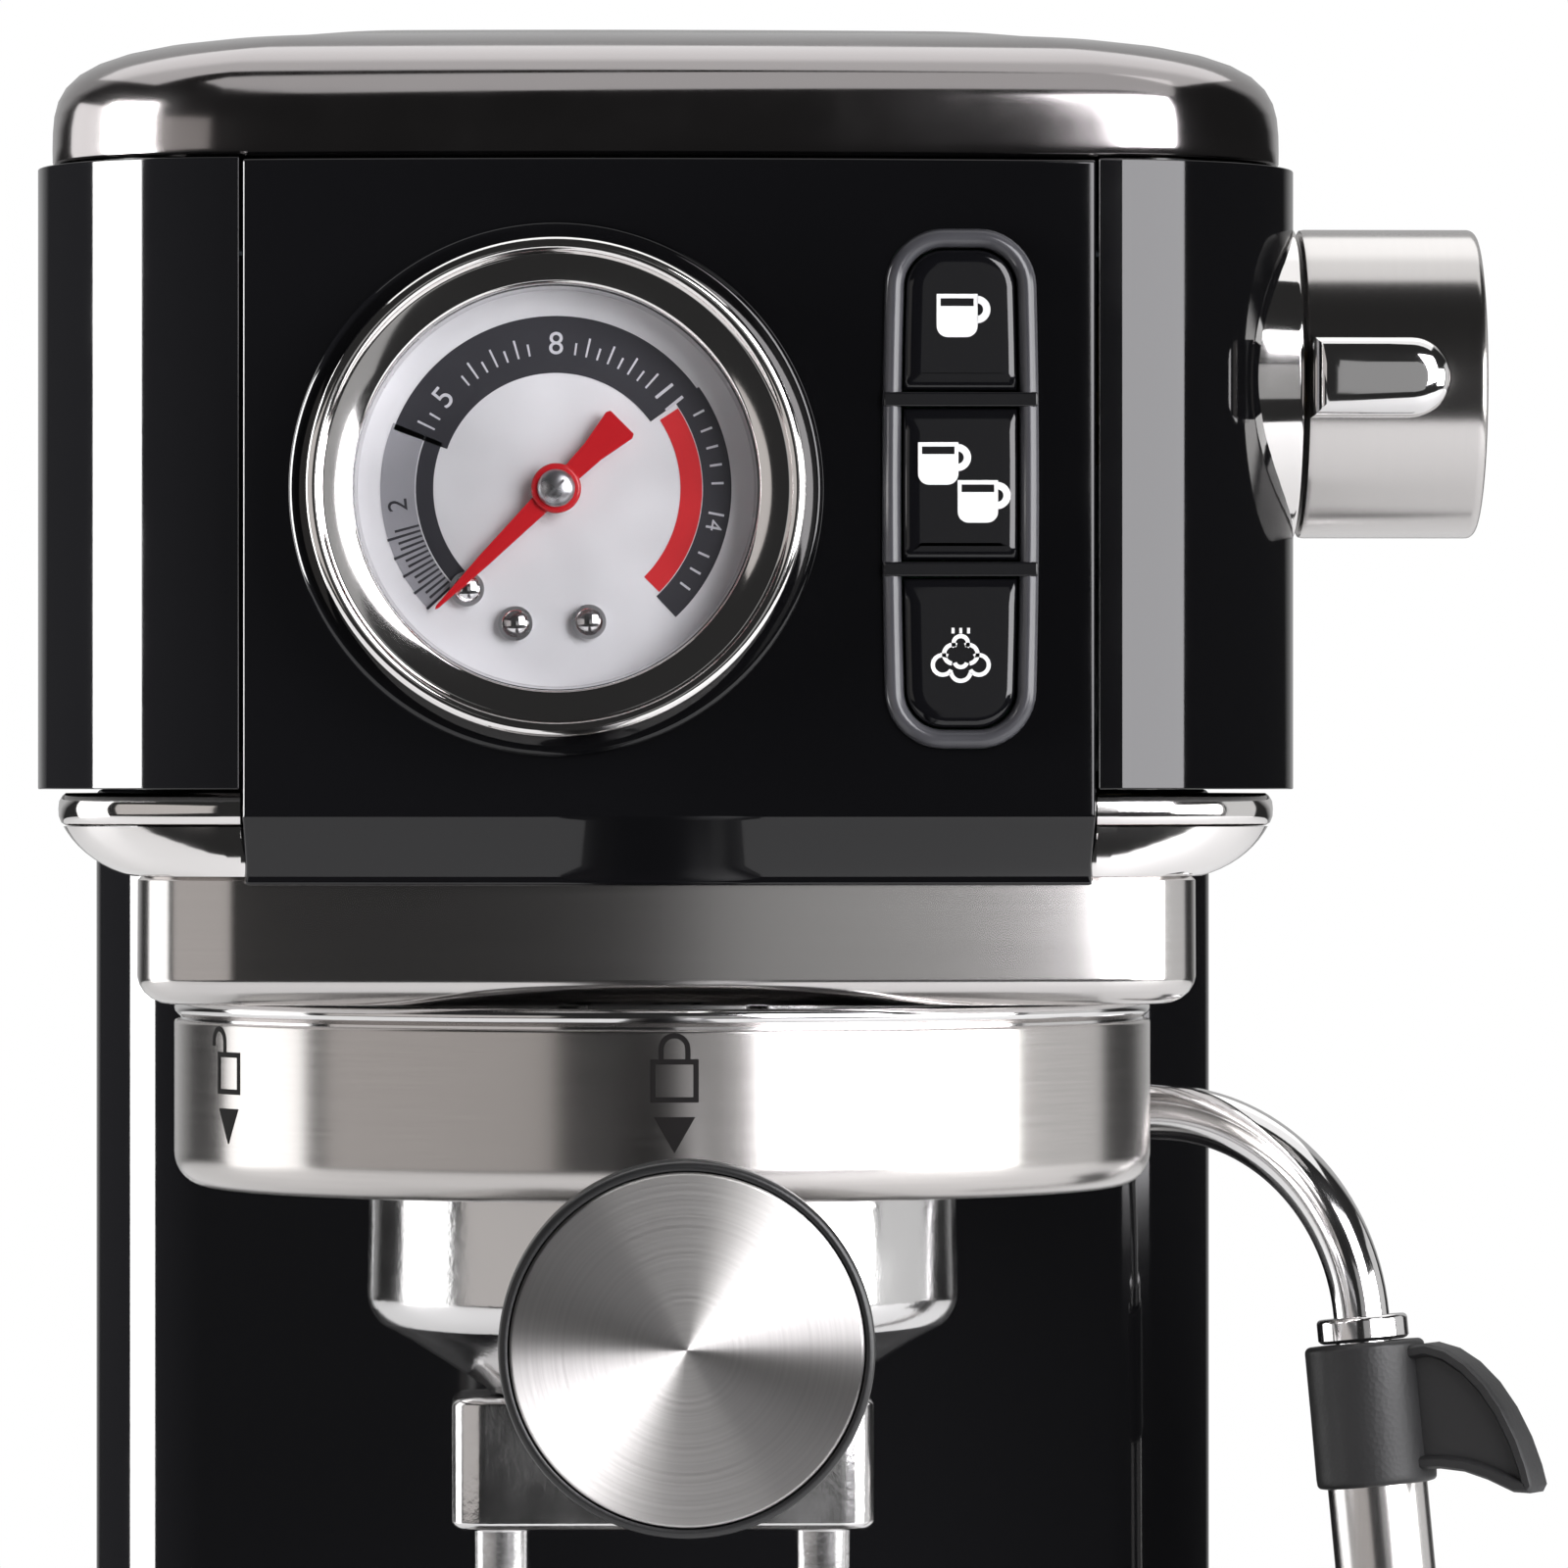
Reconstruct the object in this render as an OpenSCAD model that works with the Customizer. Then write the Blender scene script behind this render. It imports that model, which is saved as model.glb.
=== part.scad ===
// Slim pump espresso machine with a pressure gauge, three brew buttons, a
// bayonet portafilter and a swivelling steam wand.
// Frame: X to the user's right, Y towards the water tank, Z up, origin on the
// table under the middle of the base. All sizes are in millimetres.

/* [Body] */
// Width of the head and of the base
body_w = 149; // [146:1:152]
// Height of the top cover above the table
total_h = 305; // [302:1:308]
// Front corner radius of the head
corner_r = 25; // [20:1:26]
// Radius of the gentle bulge across the front
bulge_r = 400; // [300:50:600]
// Thickness of the outer plastic shells
wall = 2.5; // [2:0.1:3]
// Length of the head from its front to the middle of the base
head_front = 120; // [118:1:122]

/* [Group and portafilter] */
// Radius of the brushed ring round the group
ring_r = 59.5; // [58:0.5:59.5]
// Outer radius of the portafilter bowl
bowl_r = 36; // [35:0.1:36.2]
// Length of the portafilter handle from the group axis to its end
handle_len = 175; // [160:1:180]
// Radius of the handle at its free end
handle_r = 19.4; // [17:0.1:20]

/* [Gauge and buttons] */
// Outer radius of the gauge bezel
bezel_r = 28.5; // [27:0.1:29]
// Sideways place of the gauge centre
gauge_x = -13.2; // [-16:0.1:-12]
// Sideways place of the button column
button_x = 33.7; // [32:0.1:35]
// Width of a button
button_w = 17.3; // [16:0.1:18]

/* [Steam] */
// Radius of the steam knob
knob_r = 18.4; // [18:0.1:20]
// Radius of the steam pipe
pipe_r = 3.5; // [3.2:0.1:3.6]
// Radius of the frothing sleeve
sleeve_r = 6.25; // [6:0.05:6.5]

/* [Hidden] */
$fn = 96;
eps = 0.01;
hw = body_w / 2;

// Levels
z_top = total_h;
z_seam = z_top - 16;          // joint between top cover and head shell
z_head = z_seam - 73.5;         // lower edge of the head shell
z_trim = z_head - 4.3;          // lower edge of the bright trim band
z_floor = z_head - 10.2;          // underside of the head
z_neck = z_floor - 15.3;        // lower edge of the neck
z_ring = z_neck - 22.7;         // lower edge of the group ring
z_rim = z_ring + 10.3;          // top of the portafilter bowl
z_gauge = (z_head + z_seam) / 2 - 2;
z_handle = z_ring - 10;         // handle axis
z_deck = 36;                    // top of the base behind the tray
z_tray = 40;                    // top of the drip tray
z_plate = 3;                    // underside of the bottom plate
plate_t = 3.5;

// Places along Y
y_front = -head_front;
y_group = y_front + 60;
y_col = 8;                      // front of the column
column_r = 14;                  // front corners of the column
y_rear = 92;                    // back of head and column
y_tank = 93.5;
y_back = 149;                   // back of base and tank
y_tray = -150;
y_knob = y_front + 32;
z_knob = z_gauge + 13.6;

// Panel and its openings
panel_hw = 49.6;
panel_t = 3;
gauge_hole_r = 25.2;
seat_r = 31;
button_h = 60.4;
button_gap = 2;
button_corner = 8;
rim_w = 2.2;                    // rim of the frame round the buttons

// Steam wand
wand_x = 52;
wand_y = -12;
z_ball = z_neck + 1.6;
ball_r = 6.2;
wand_turn = 30;                 // how far the pipe points forward, in degrees
bend_a = 10;                    // radius of the bend under the ball
bend_b = 27.7;                    // radius of the large bend
bend_b_sweep = 84;
z_run = z_ball - 7 - bend_a;  // level of the pipe's horizontal run
run_len = 3.9;

// Bayonet
lug_count = 3;
lug_sweep = 26;
ledge_sweep = 34;

// ---------------------------------------------------------------- helpers

// Rounded outline: half width h, from ya to yb, front radius rf, rear radius rr
module rounded(h, ya, yb, rf, rr) {
    union() {
        translate([-(h - rf), ya]) square([2 * (h - rf), yb - ya - rr]);
        translate([-h, ya + rf]) square([2 * h, yb - ya - rf - rr]);
        translate([-(h - rr), ya + rf]) square([2 * (h - rr), yb - ya - rf]);
        for (s = [-1, 1]) {
            translate([s * (h - rf), ya + rf]) circle(rf);
            translate([s * (h - rr), yb - rr]) circle(rr);
        }
    }
}

// Right half of an outline whose bulged front runs smoothly into a round corner:
// half width h, front at yf, corner radius r, all moved in by i, in n steps each
function half_bulge(h, yf, r, i, n) =
    let (
        cx = h - r,
        cy = yf + bulge_r - sqrt(pow(bulge_r - r, 2) - cx * cx),
        meet = asin(cx / (bulge_r - r)))
    concat(
        [for (k = [0 : n]) let (a = meet * k / n)
            [(bulge_r - i) * sin(a), yf + bulge_r - (bulge_r - i) * cos(a)]],
        [for (k = [1 : n]) let (a = meet + (90 - meet) * k / n)
            [cx + (r - i) * sin(a), cy - (r - i) * cos(a)]]);

// The whole bulged outline, with a straight back at yb
module bulged(h, yf, r, yb, i, n = 12) {
    right = half_bulge(h, yf, r, i, n);
    polygon(concat(
        [for (k = [len(right) - 1 : -1 : 1]) [-right[k][0], right[k][1]]],
        right, [[h - i, yb], [i - h, yb]]));
}

// Outline of the head, moved in by i
module head_outline(i = 0, back = y_rear, n = 12) {
    bulged(hw, y_front, corner_r, back, i, n);
}

// Outline of the neck between head and ring
module neck_outline(i = 0, n = 12) {
    bulged(hw - 12, y_front + 5, 14, y_col - 0.3, i, n);
}

module slab(z, h = eps) {
    translate([0, 0, z]) linear_extrude(h) children();
}

module box(x0, x1, y0, y1, z0, z1) {
    translate([x0, y0, z0]) cube([x1 - x0, y1 - y0, z1 - z0]);
}

// Cylinder along Y from y0 to y1 centred on x, z
module rod_y(x, z, y0, y1, r) {
    translate([x, y0, z]) rotate([-90, 0, 0]) cylinder(h = y1 - y0, r = r);
}

// Cylinder along X from x0 to x1 centred on y, z
module rod_x(y, z, x0, x1, r) {
    translate([x0, y, z]) rotate([0, 90, 0]) cylinder(h = x1 - x0, r = r);
}

// Tube or hose through a list of points, with an elbow at every turn
module hose(points, r) {
    for (k = [0 : len(points) - 2]) {
        a = points[k];
        d = points[k + 1] - a;
        n = norm(d);
        translate(a)
            rotate([0, acos(d[2] / n), atan2(d[1], d[0])])
                cylinder(h = n, r = r);
        if (k > 0) translate(a) sphere(r * 1.5);
    }
}

// Points of an arc in a profile
function arc(cx, cy, r, a0, a1, n = 8) =
    [for (k = [0 : n]) [cx + r * cos(a0 + (a1 - a0) * k / n), cy + r * sin(a0 + (a1 - a0) * k / n)]];

module at_group() {
    translate([0, y_group, 0]) children();
}

// Frame whose +Z runs along the handle, from the group axis to its end
module at_handle() {
    translate([0, y_group, z_handle]) rotate([90, 0, 0]) children();
}

// ---------------------------------------------------------------- housing

module base_plate() {
    color("#111111") slab(z_plate, plate_t) rounded(hw, y_tray + 3, y_back, corner_r, 12);
}

module rubber_feet() {
    color("#1a1a1a")
        for (p = [[0, 0], [-55, y_tray + 35], [55, y_tray + 35], [-55, y_back - 22], [55, y_back - 22]])
            translate([p[0], p[1], 0]) cylinder(h = z_plate, r1 = 8, r2 = 9);
}

module base_housing() {
    z0 = z_plate + plate_t;
    color("#0c0c0e") difference() {
        slab(z0, z_deck - z0) rounded(hw, -2, y_back, 2, 12);
        slab(z0 - 1, z_deck - z0 - wall + 1) rounded(hw - wall, -2 + wall, y_back - wall, 2, 10);
        box(-62, 62, 16, 84, z_deck - wall - 1, z_deck + 1);
        translate([0, 120, z_deck - wall - 1]) cylinder(h = wall + 2, r = 9.5);
        rod_y(45, 20, y_back - wall - 1, y_back + 1, 8);
        box(-49.6, -30.4, y_back - wall - 1, y_back + 1, 12.2, 27.8);
    }
    // cord gland
    color("#161616") difference() {
        union() {
            rod_y(45, 20, y_back - wall, y_back + 8, 8);
            rod_y(45, 20, y_back, y_back + 2, 10);
            rod_y(45, 20, y_back - wall - 2, y_back - wall, 9.5);
        }
        rod_y(45, 20, y_back - wall - 3, y_back + 9, 3.6);
    }
}

module column_cover() {
    color("#08080a") difference() {
        slab(z_deck, z_head - z_deck) rounded(hw - 1.8, y_col, y_rear - wall - 0.3, column_r, 1);
        slab(z_deck - 1, z_head - z_deck + 2)
            rounded(hw - 1.8 - wall, y_col + wall, y_rear + 5, column_r - wall, 1);
    }
}

module rear_wall() {
    color("#101012") difference() {
        box(-hw + 4.6, hw - 4.6, y_rear - wall, y_rear, z_deck, z_seam - 0.4);
        for (z = [60, 150, 262], x = [-54, 54]) rod_y(x, z, y_rear - wall - 1, y_rear + 1, 1.7);
    }
}

module panel_pocket(i = 0.3) {
    intersection() {
        box(-panel_hw - i, panel_hw + i, y_front - 5, y_front + 20, z_floor - 5, z_seam + 5);
        slab(z_floor - 5, z_seam - z_floor + 10) difference() {
            head_outline(-2);
            head_outline(panel_t + i);
        }
    }
}

module head_shell() {
    color("#060607") difference() {
        union() {
            difference() {
                slab(z_head, z_seam - z_head) head_outline(0);
                slab(z_head - 1, z_seam - z_head + 2) head_outline(wall, y_rear + 5);
            }
            difference() {
                slab(z_head + 0.2, 2) head_outline(1);
                slab(z_head - 1, 4) head_outline(12);
            }
        }
        panel_pocket();
        box(-hw + 4.3, hw - 4.3, y_rear - wall - 0.3, y_rear + 5, z_head - 1, z_seam + 1);
        rod_x(y_knob, z_knob, hw - 10, hw + 5, 6.5);
    }
}

module button_outline(i = 0) {
    h = button_h / 2 - i;
    w = button_w / 2 - i;
    r = button_corner - i;
    union() {
        square([2 * w, 2 * (h - r)], center = true);
        square([2 * (w - r), 2 * h], center = true);
        for (x = [-1, 1], y = [-1, 1]) translate([x * (w - r), y * (h - r)]) circle(r);
    }
}

// Button column outline pushed along Y between two planes
module button_prism(y0, y1, i = 0) {
    translate([button_x, y1, z_gauge + 0.1]) rotate([90, 0, 0]) linear_extrude(y1 - y0) button_outline(i);
}

module front_panel() {
    color("#050506") difference() {
        union() {
            intersection() {
                box(-panel_hw, panel_hw, y_front - 5, y_front + 20, z_trim, z_seam - 0.2);
                slab(z_trim - 1, z_seam - z_trim + 2) difference() {
                    head_outline(0);
                    head_outline(panel_t);
                }
            }
            // lower lip, raked inwards
            intersection() {
                box(-panel_hw + 0.3, panel_hw - 0.3, y_front - 5, y_front + 12, z_floor - 0.6, z_trim);
                difference() {
                    hull() {
                        slab(z_trim) head_outline(0, 0, 8);
                        slab(z_floor - 0.6) head_outline(3.4, 0, 8);
                    }
                    slab(z_floor - 2, 20) head_outline(4.8, 20);
                }
            }
            // flat seat round the gauge
            intersection() {
                rod_y(gauge_x, z_gauge, y_front - 0.6, y_front + 8, seat_r);
                slab(z_head, z_seam - z_head) difference() {
                    head_outline(-2);
                    head_outline(panel_t);
                }
            }
        }
        rod_y(gauge_x, z_gauge, y_front - 5, y_front + 20, gauge_hole_r);
        button_prism(y_front - 5, y_front + 20, -0.1);
    }
}

// Outline of the top cover, moved in by ix at the sides and iy at the front
module cover_outline(ix, iy) {
    bulged(hw - 1.7 - ix, y_front + 1.7 + iy, max(23.3 - ix * 0.3, 8), y_rear - ix * 0.2, 0, 8);
}

module top_cover() {
    h = z_top - z_seam;
    color("#3a3638") difference() {
        hull() {
            slab(z_seam) cover_outline(0, 0);
            // softly rounded shoulder, fuller than a quarter circle
            for (t = [0.3, 0.55, 0.72, 0.84, 0.92, 1]) {
                q = min(t, 0.962);
                inset = 72.8 * (1 - pow(1 - pow(q, 3.7), 1 / 3.7));
                slab(z_seam + h * t - eps) cover_outline(inset, inset * 0.8);
            }
        }
        slab(z_seam - 1, 9) rounded(hw - 5, y_front + 10, y_rear + 5, 18, 3);
        slab(z_top - 1.2, 3) rounded(41, y_front + 32, y_rear - 14, 10, 10);
    }
}

module cup_plate() {
    color("#b9b9bc") difference() {
        slab(z_top - 1.2, 1.2) rounded(40.8, y_front + 32.2, y_rear - 14.2, 9.8, 9.8);
        for (k = [0 : 5])
            translate([-30, y_front + 50 + k * 22, z_top - 0.5]) cube([60, 4, 2]);
    }
}

module trim_band() {
    color("#d8d8da") difference() {
        slab(z_trim, z_head - z_trim - 0.4) head_outline(2.7);
        slab(z_trim - 1, 8) head_outline(5, y_rear + 5);
        box(-hw, hw, y_col - 0.3, y_rear + 10, z_trim - 1, z_head + 1);
        panel_pocket(0.2);
    }
}

module head_underside() {
    color("#cfcfd2") difference() {
        hull() {
            slab(z_trim - 0.1) head_outline(2.9, y_col - 0.3, 8);
            slab(z_floor) neck_outline(-0.6, 8);
        }
        slab(z_floor + 2.4, 20) rounded(hw - 15, y_front + 8, y_col - 2.8, 14, 1);
        at_group() translate([0, 0, z_floor - 1]) cylinder(h = 20, r = 46.6);
        translate([wand_x, wand_y, z_floor - 1]) cylinder(h = 20, r = 9.4);
        intersection() {
            box(-panel_hw - 0.2, panel_hw + 0.2, y_front - 5, y_front + 20, z_floor - 2, z_seam);
            slab(z_floor - 2, 20) difference() {
                head_outline(-2);
                head_outline(5);
            }
        }
    }
}

module neck_collar() {
    color("#c9c9cc") difference() {
        slab(z_neck + 0.2, z_floor - z_neck - 0.2) neck_outline(0);
        slab(z_neck + 2, z_floor - z_neck) neck_outline(2);
        at_group() translate([0, 0, z_neck - 1]) cylinder(h = 20, r = 46.6);
        translate([wand_x, wand_y, z_neck - 1]) cylinder(h = 20, r = 8.6);
    }
}

// Steel frame that carries boiler, pump and valve
module chassis() {
    color("#9a9a9a") difference() {
        union() {
            box(-60, 60, y_front + 26, y_rear - 6, z_head + 2.4, z_head + 4.4);
            box(-60, 60, y_rear - 6, y_rear - 4, z_deck + 4, z_head + 4.4);
            box(42, 56, y_knob - 8, y_knob + 8, z_head + 4.4, z_knob - 10);
        }
        at_group() translate([0, 0, z_head]) cylinder(h = 6, r = 31);
        box(43.6, 60, y_knob - 6.4, y_knob + 6.4, z_head + 5, z_knob - 11.6);
        box(-40, 40, 11, 70, z_head, z_head + 6);
        translate([wand_x, wand_y, z_head]) cylinder(h = 6, r = 9.4);
        for (z = [60, 150], x = [-54, 54]) rod_y(x, z, y_rear - 8, y_rear - 2, 1.7);
    }
}

module housing_screws() {
    color("#777777") for (z = [60, 150, 262], x = [-54, 54]) {
        rod_y(x, z, y_rear, y_rear + 1.2, 3);
        rod_y(x, z, y_rear - 8, y_rear, 1.6);
    }
}

// ---------------------------------------------------------------- group

module group_ring() {
    z0 = z_ring;
    r = 4;
    outer = arc(ring_r - r, z0 + r, r, -90, 0);
    inner = arc(ring_r - r, z0 + r, r - 1.2, 0, -90);
    profile = concat(
        [[bowl_r + 4.8, z0]], outer,
        [[ring_r, z_neck - 0.6], [ring_r - 0.6, z_neck], [ring_r - 1.2, z_neck - 0.6]], inner,
        [[bowl_r + 4.8, z0 + 1.2]]);
    color("#b4b0ae") at_group() rotate_extrude() polygon(profile);
}

module brew_head() {
    color("#8f8f8f") at_group() {
        difference() {
            translate([0, 0, z_ring + 1.6]) cylinder(h = z_head + 2.2 - z_ring - 1.6, r = 46);
            translate([0, 0, z_ring]) cylinder(h = z_rim + 1 - z_ring, r = bowl_r + 4.6);
            translate([0, 0, z_rim + 0.9]) cylinder(h = 8.1, r = bowl_r + 0.2);
            translate([0, 0, z_rim]) cylinder(h = 100, r = 3);
        }
        difference() {
            translate([0, 0, z_rim + 5.4]) cylinder(h = 3.7, r = 24);
            translate([0, 0, z_rim]) cylinder(h = 100, r = 2.6);
        }
        for (k = [0 : lug_count - 1])
            rotate([0, 0, 30 + k * 120 - ledge_sweep / 2])
                rotate_extrude(angle = ledge_sweep)
                    translate([bowl_r + 0.7, z_ring + 1.6]) square([4.5, 3.6]);
    }
}

module group_gasket() {
    color("#1c1c1c") at_group() difference() {
        translate([0, 0, z_rim + 1.3]) cylinder(h = 7.7, r = bowl_r);
        translate([0, 0, z_rim]) cylinder(h = 10, r = 26.8);
    }
}

module shower_screen() {
    color("#c4c4c4") at_group() difference() {
        translate([0, 0, z_rim + 4.2]) cylinder(h = 1.2, r = 26.2);
        translate([0, 0, z_rim + 4]) cylinder(h = 2, r = 2.6);
        for (ring = [1 : 3], k = [0 : ring * 8 - 1])
            rotate([0, 0, k * 45 / ring]) translate([ring * 6.5 + 2, 0, z_rim + 4])
                cylinder(h = 2, r = 0.8, $fn = 16);
    }
}

module shower_screw() {
    color("#c4c4c4") at_group() difference() {
        union() {
            translate([0, 0, z_rim + 2.6]) cylinder(h = 1.6, r = 4.5);
            translate([0, 0, z_rim + 4.1]) cylinder(h = 5, r = 2.5);
        }
        translate([-3, -0.5, z_rim + 2.5]) cube([6, 1, 0.8]);
    }
}

module portafilter_bowl() {
    z1 = z_rim;
    z0 = z_rim - 26.7;
    r = 3;
    profile = concat(
        [[5, z0 - 9], [21.6, z0 - 9]],
        [[bowl_r - 2.4, z0 - 1.6]], arc(bowl_r - r, z0 + 1.2, r, -35, 0),
        [[bowl_r, z1 - 0.6], [bowl_r - 0.6, z1], [27.4, z1],
         [27.4, z1 - 4.2], [28.3, z1 - 4.6], [28.3, z1 - 5.6], [27.4, z1 - 6],
         [27.4, z0 + 2.4], [5, z0 - 4]]);
    color("#cdcdd0") {
        difference() {
            union() {
                at_group() rotate_extrude() polygon(profile);
                intersection() {
                    at_handle() translate([0, 0, 31.5]) cylinder(h = 21.5, r = 9);
                    box(-20, 20, -300, 0, 0, z_ring - 0.4);
                }
            }
            at_handle() translate([0, 0, 34]) cylinder(h = 40, r = 4.1);
        }
        at_group() for (k = [0 : lug_count - 1])
            rotate([0, 0, 30 + k * 120 - lug_sweep / 2])
                rotate_extrude(angle = lug_sweep)
                    translate([bowl_r - 1, z_rim - 4.6]) square([5, 4]);
    }
}

module filter_basket() {
    z0 = z_rim - 20;
    color("#d5d5d5") at_group() difference() {
        union() {
            translate([0, 0, z0]) cylinder(h = 20.5, r = 26.2);
            translate([0, 0, z_rim]) cylinder(h = 1, r = 34);
        }
        translate([0, 0, z0 + 0.8]) cylinder(h = 30, r = 25.4);
        for (ring = [1 : 4], k = [0 : ring * 6 - 1])
            rotate([0, 0, k * 60 / ring]) translate([ring * 5, 0, z0 - 1])
                cylinder(h = 3, r = 0.6, $fn = 16);
    }
}

module basket_spring() {
    color("#bbbbbb") at_group() translate([0, 0, z_rim - 5.1])
        rotate([0, 0, 110]) rotate_extrude(angle = 310) translate([27.35, 0]) circle(0.45, $fn = 16);
}

module twin_spout() {
    z0 = z_rim - 52;
    top = z_rim - 35.8;
    color("#c6c6c9") at_group() difference() {
        union() {
            slab(z0, top - z0) union() {
                square([2 * 25.7 - 8, 19], center = true);
                square([2 * 25.7, 11], center = true);
                for (x = [-1, 1], y = [-1, 1]) translate([x * 21.7, y * 5.5]) circle(4);
            }
            for (x = [-19.6, 19.6]) translate([x, 0, z0 - 8]) cylinder(h = 8.5, r = 3.4);
        }
        translate([-22.5, -6.8, z0 + 2]) cube([45, 13.6, top - z0 - 4]);
        translate([0, 0, z0 + 3]) cylinder(h = 30, r = 6);
        for (x = [-19.6, 19.6]) translate([x, 0, z0 - 9]) cylinder(h = 14, r = 2.3);
    }
}

module handle_ferrule() {
    color("#d0d0d3") at_handle() difference() {
        translate([0, 0, 53.1]) cylinder(h = 7.6, r1 = 9.2, r2 = 9.5);
        translate([0, 0, 50]) cylinder(h = 14, r = 4.1);
    }
}

module handle_grip() {
    n = 12;
    root = 60.8;
    len_g = handle_len - 3 - root;
    // slender at the root, swelling towards the free end
    side = [for (k = [0 : n]) let (t = k / n)
        [9.8 + (handle_r - 9.8) * (3 * t * t - 2 * t * t * t), root + len_g * t]];
    profile = concat([[4.1, root]], side,
        [[handle_r, handle_len - 1.2], [handle_r - 1, handle_len], [handle_r - 1.6, handle_len],
         [handle_r - 1.6, handle_len - 1.6], [4.1, handle_len - 1.6]]);
    color("#0e0e0f") at_handle() rotate_extrude() polygon(profile);
}

module handle_rod() {
    color("#888888") at_handle() translate([0, 0, 36]) cylinder(h = handle_len - 38, r = 4);
}

module handle_cap() {
    color("#a9a5a4") at_handle() translate([0, 0, handle_len - 1.5])
        cylinder(h = 1.3, r = handle_r - 1.7);
}

// ---------------------------------------------------------------- steam

module steam_knob() {
    x0 = hw + 3.1;
    x1 = hw + 22;
    color("#a8a4a2") translate([0, y_knob, z_knob]) rotate([0, 90, 0])
        rotate_extrude() polygon(concat(
            [[4.05, x0], [knob_r - 0.4, x0], [knob_r, x0 + 0.4]],
            arc(knob_r - 1.6, x1 - 1.6, 1.6, 0, 90), [[0, x1], [0, x1 - 6], [4.05, x1 - 6]]));
}

module knob_lever() {
    x0 = hw + 3.6;
    x1 = hw + 17;
    h = 4.75;
    color("#dcdcde") difference() {
        translate([0, y_knob, z_knob - 1]) rotate([90, 0, 0]) linear_extrude(knob_r + 6.2) union() {
            translate([x0, -h]) square([x1 - h - x0, 2 * h]);
            translate([x1 - h, 0]) circle(h);
        }
        rod_x(y_knob, z_knob, x0 - 5, x1 + 5, knob_r + 0.02);
    }
}

module knob_collar() {
    color("#cfcfd2") difference() {
        rod_x(y_knob, z_knob, hw - 6, hw + 2.8, 19.3);
        slab(z_head - 20, 120) head_outline(0);
        rod_x(y_knob, z_knob, hw - 10, hw + 5, 4.6);
    }
}

module valve_stem() {
    color("#b08d3c") rod_x(y_knob, z_knob, hw - 17, hw + 15.8, 4);
}

module steam_valve() {
    color("#b8923e") difference() {
        union() {
            box(hw - 36, hw - 16, y_knob - 9, y_knob + 9, z_knob - 9.9, z_knob + 9);
            rod_x(y_knob, z_knob, hw - 16.2, hw - 6, 7);
        }
        rod_x(y_knob, z_knob, hw - 22, hw, 4.05);
    }
}

module steam_pipes() {
    color("#c8a070") {
        hose([[hw - 36, y_knob, z_knob], [30, y_knob, z_knob], [30, y_knob, z_head + 64],
              [20, y_group, z_head + 64], [20, y_group, z_head + 54.7]], 2);
        hose([[hw - 26, y_knob + 9, z_knob], [hw - 26, wand_y, z_knob], [wand_x, wand_y, z_knob - 12],
              [wand_x, wand_y, z_ball + 12.2]], 2);
    }
}

// ---------------------------------------------------------------- wand

module wand_socket() {
    z0 = z_ball - 5.6;
    color("#cfcfd2") translate([wand_x, wand_y, 0]) difference() {
        union() {
            translate([0, 0, z0]) cylinder(h = 18, r = 8.4);
            translate([0, 0, z0 + 17.8 - 2.5]) cylinder(h = 2.6, r = 8.4);
        }
        translate([0, 0, z0 - 1]) cylinder(h = 15.8, r = 7.5);
        translate([0, 0, z0]) cylinder(h = 20, r = 1.5);
    }
}

// Nylon seat that turns in the socket and lets the ball tilt
module wand_seat() {
    color("#dedad0") translate([wand_x, wand_y, z_ball]) difference() {
        translate([0, 0, -5.4]) cylinder(h = 13, r = 7.2);
        sphere(ball_r + 0.3);
        translate([0, 0, -8]) cylinder(h = 9, r = 5.4);
        translate([0, 0, 4]) cylinder(h = 9, r = 1.5);
    }
}

// Frame whose +X is the way the pipe points, at the ball's centre
module at_wand() {
    translate([wand_x, wand_y, 0]) rotate([0, 0, -wand_turn]) children();
}

// Frame at the end of the large bend, with +Z down along the pipe
module at_wand_end() {
    at_wand() translate([bend_a + run_len, 0, z_run - bend_b]) rotate([0, bend_b_sweep, 0])
        translate([0, 0, bend_b]) rotate([0, 90, 0]) children();
}

module wand_pipe() {
    color("#d6d6d8") difference() {
        union() {
            translate([wand_x, wand_y, z_ball]) sphere(ball_r);
            translate([wand_x, wand_y, z_run + bend_a]) cylinder(h = z_ball - z_run - bend_a, r = pipe_r);
            at_wand() {
                translate([bend_a, 0, z_run + bend_a]) rotate([90, 0, 0]) rotate([0, 0, 180])
                    rotate_extrude(angle = 90) translate([bend_a, 0]) circle(pipe_r);
                translate([bend_a, 0, z_run]) rotate([0, 90, 0]) cylinder(h = run_len, r = pipe_r);
                translate([bend_a + run_len, 0, z_run - bend_b]) rotate([90, 0, 0])
                    rotate([0, 0, 90 - bend_b_sweep]) rotate_extrude(angle = bend_b_sweep)
                        translate([bend_b, 0]) circle(pipe_r);
            }
            at_wand_end() cylinder(h = 22, r = pipe_r);
        }
        translate([wand_x, wand_y, z_ball]) cylinder(h = 10, r = 1.5);
    }
}

module wand_collar() {
    color("#c9c9cc") at_wand_end() difference() {
        translate([0, 0, 0.4]) cylinder(h = 3.2, r = 5.6);
        cylinder(h = 5, r = pipe_r + 0.02);
    }
}

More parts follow.
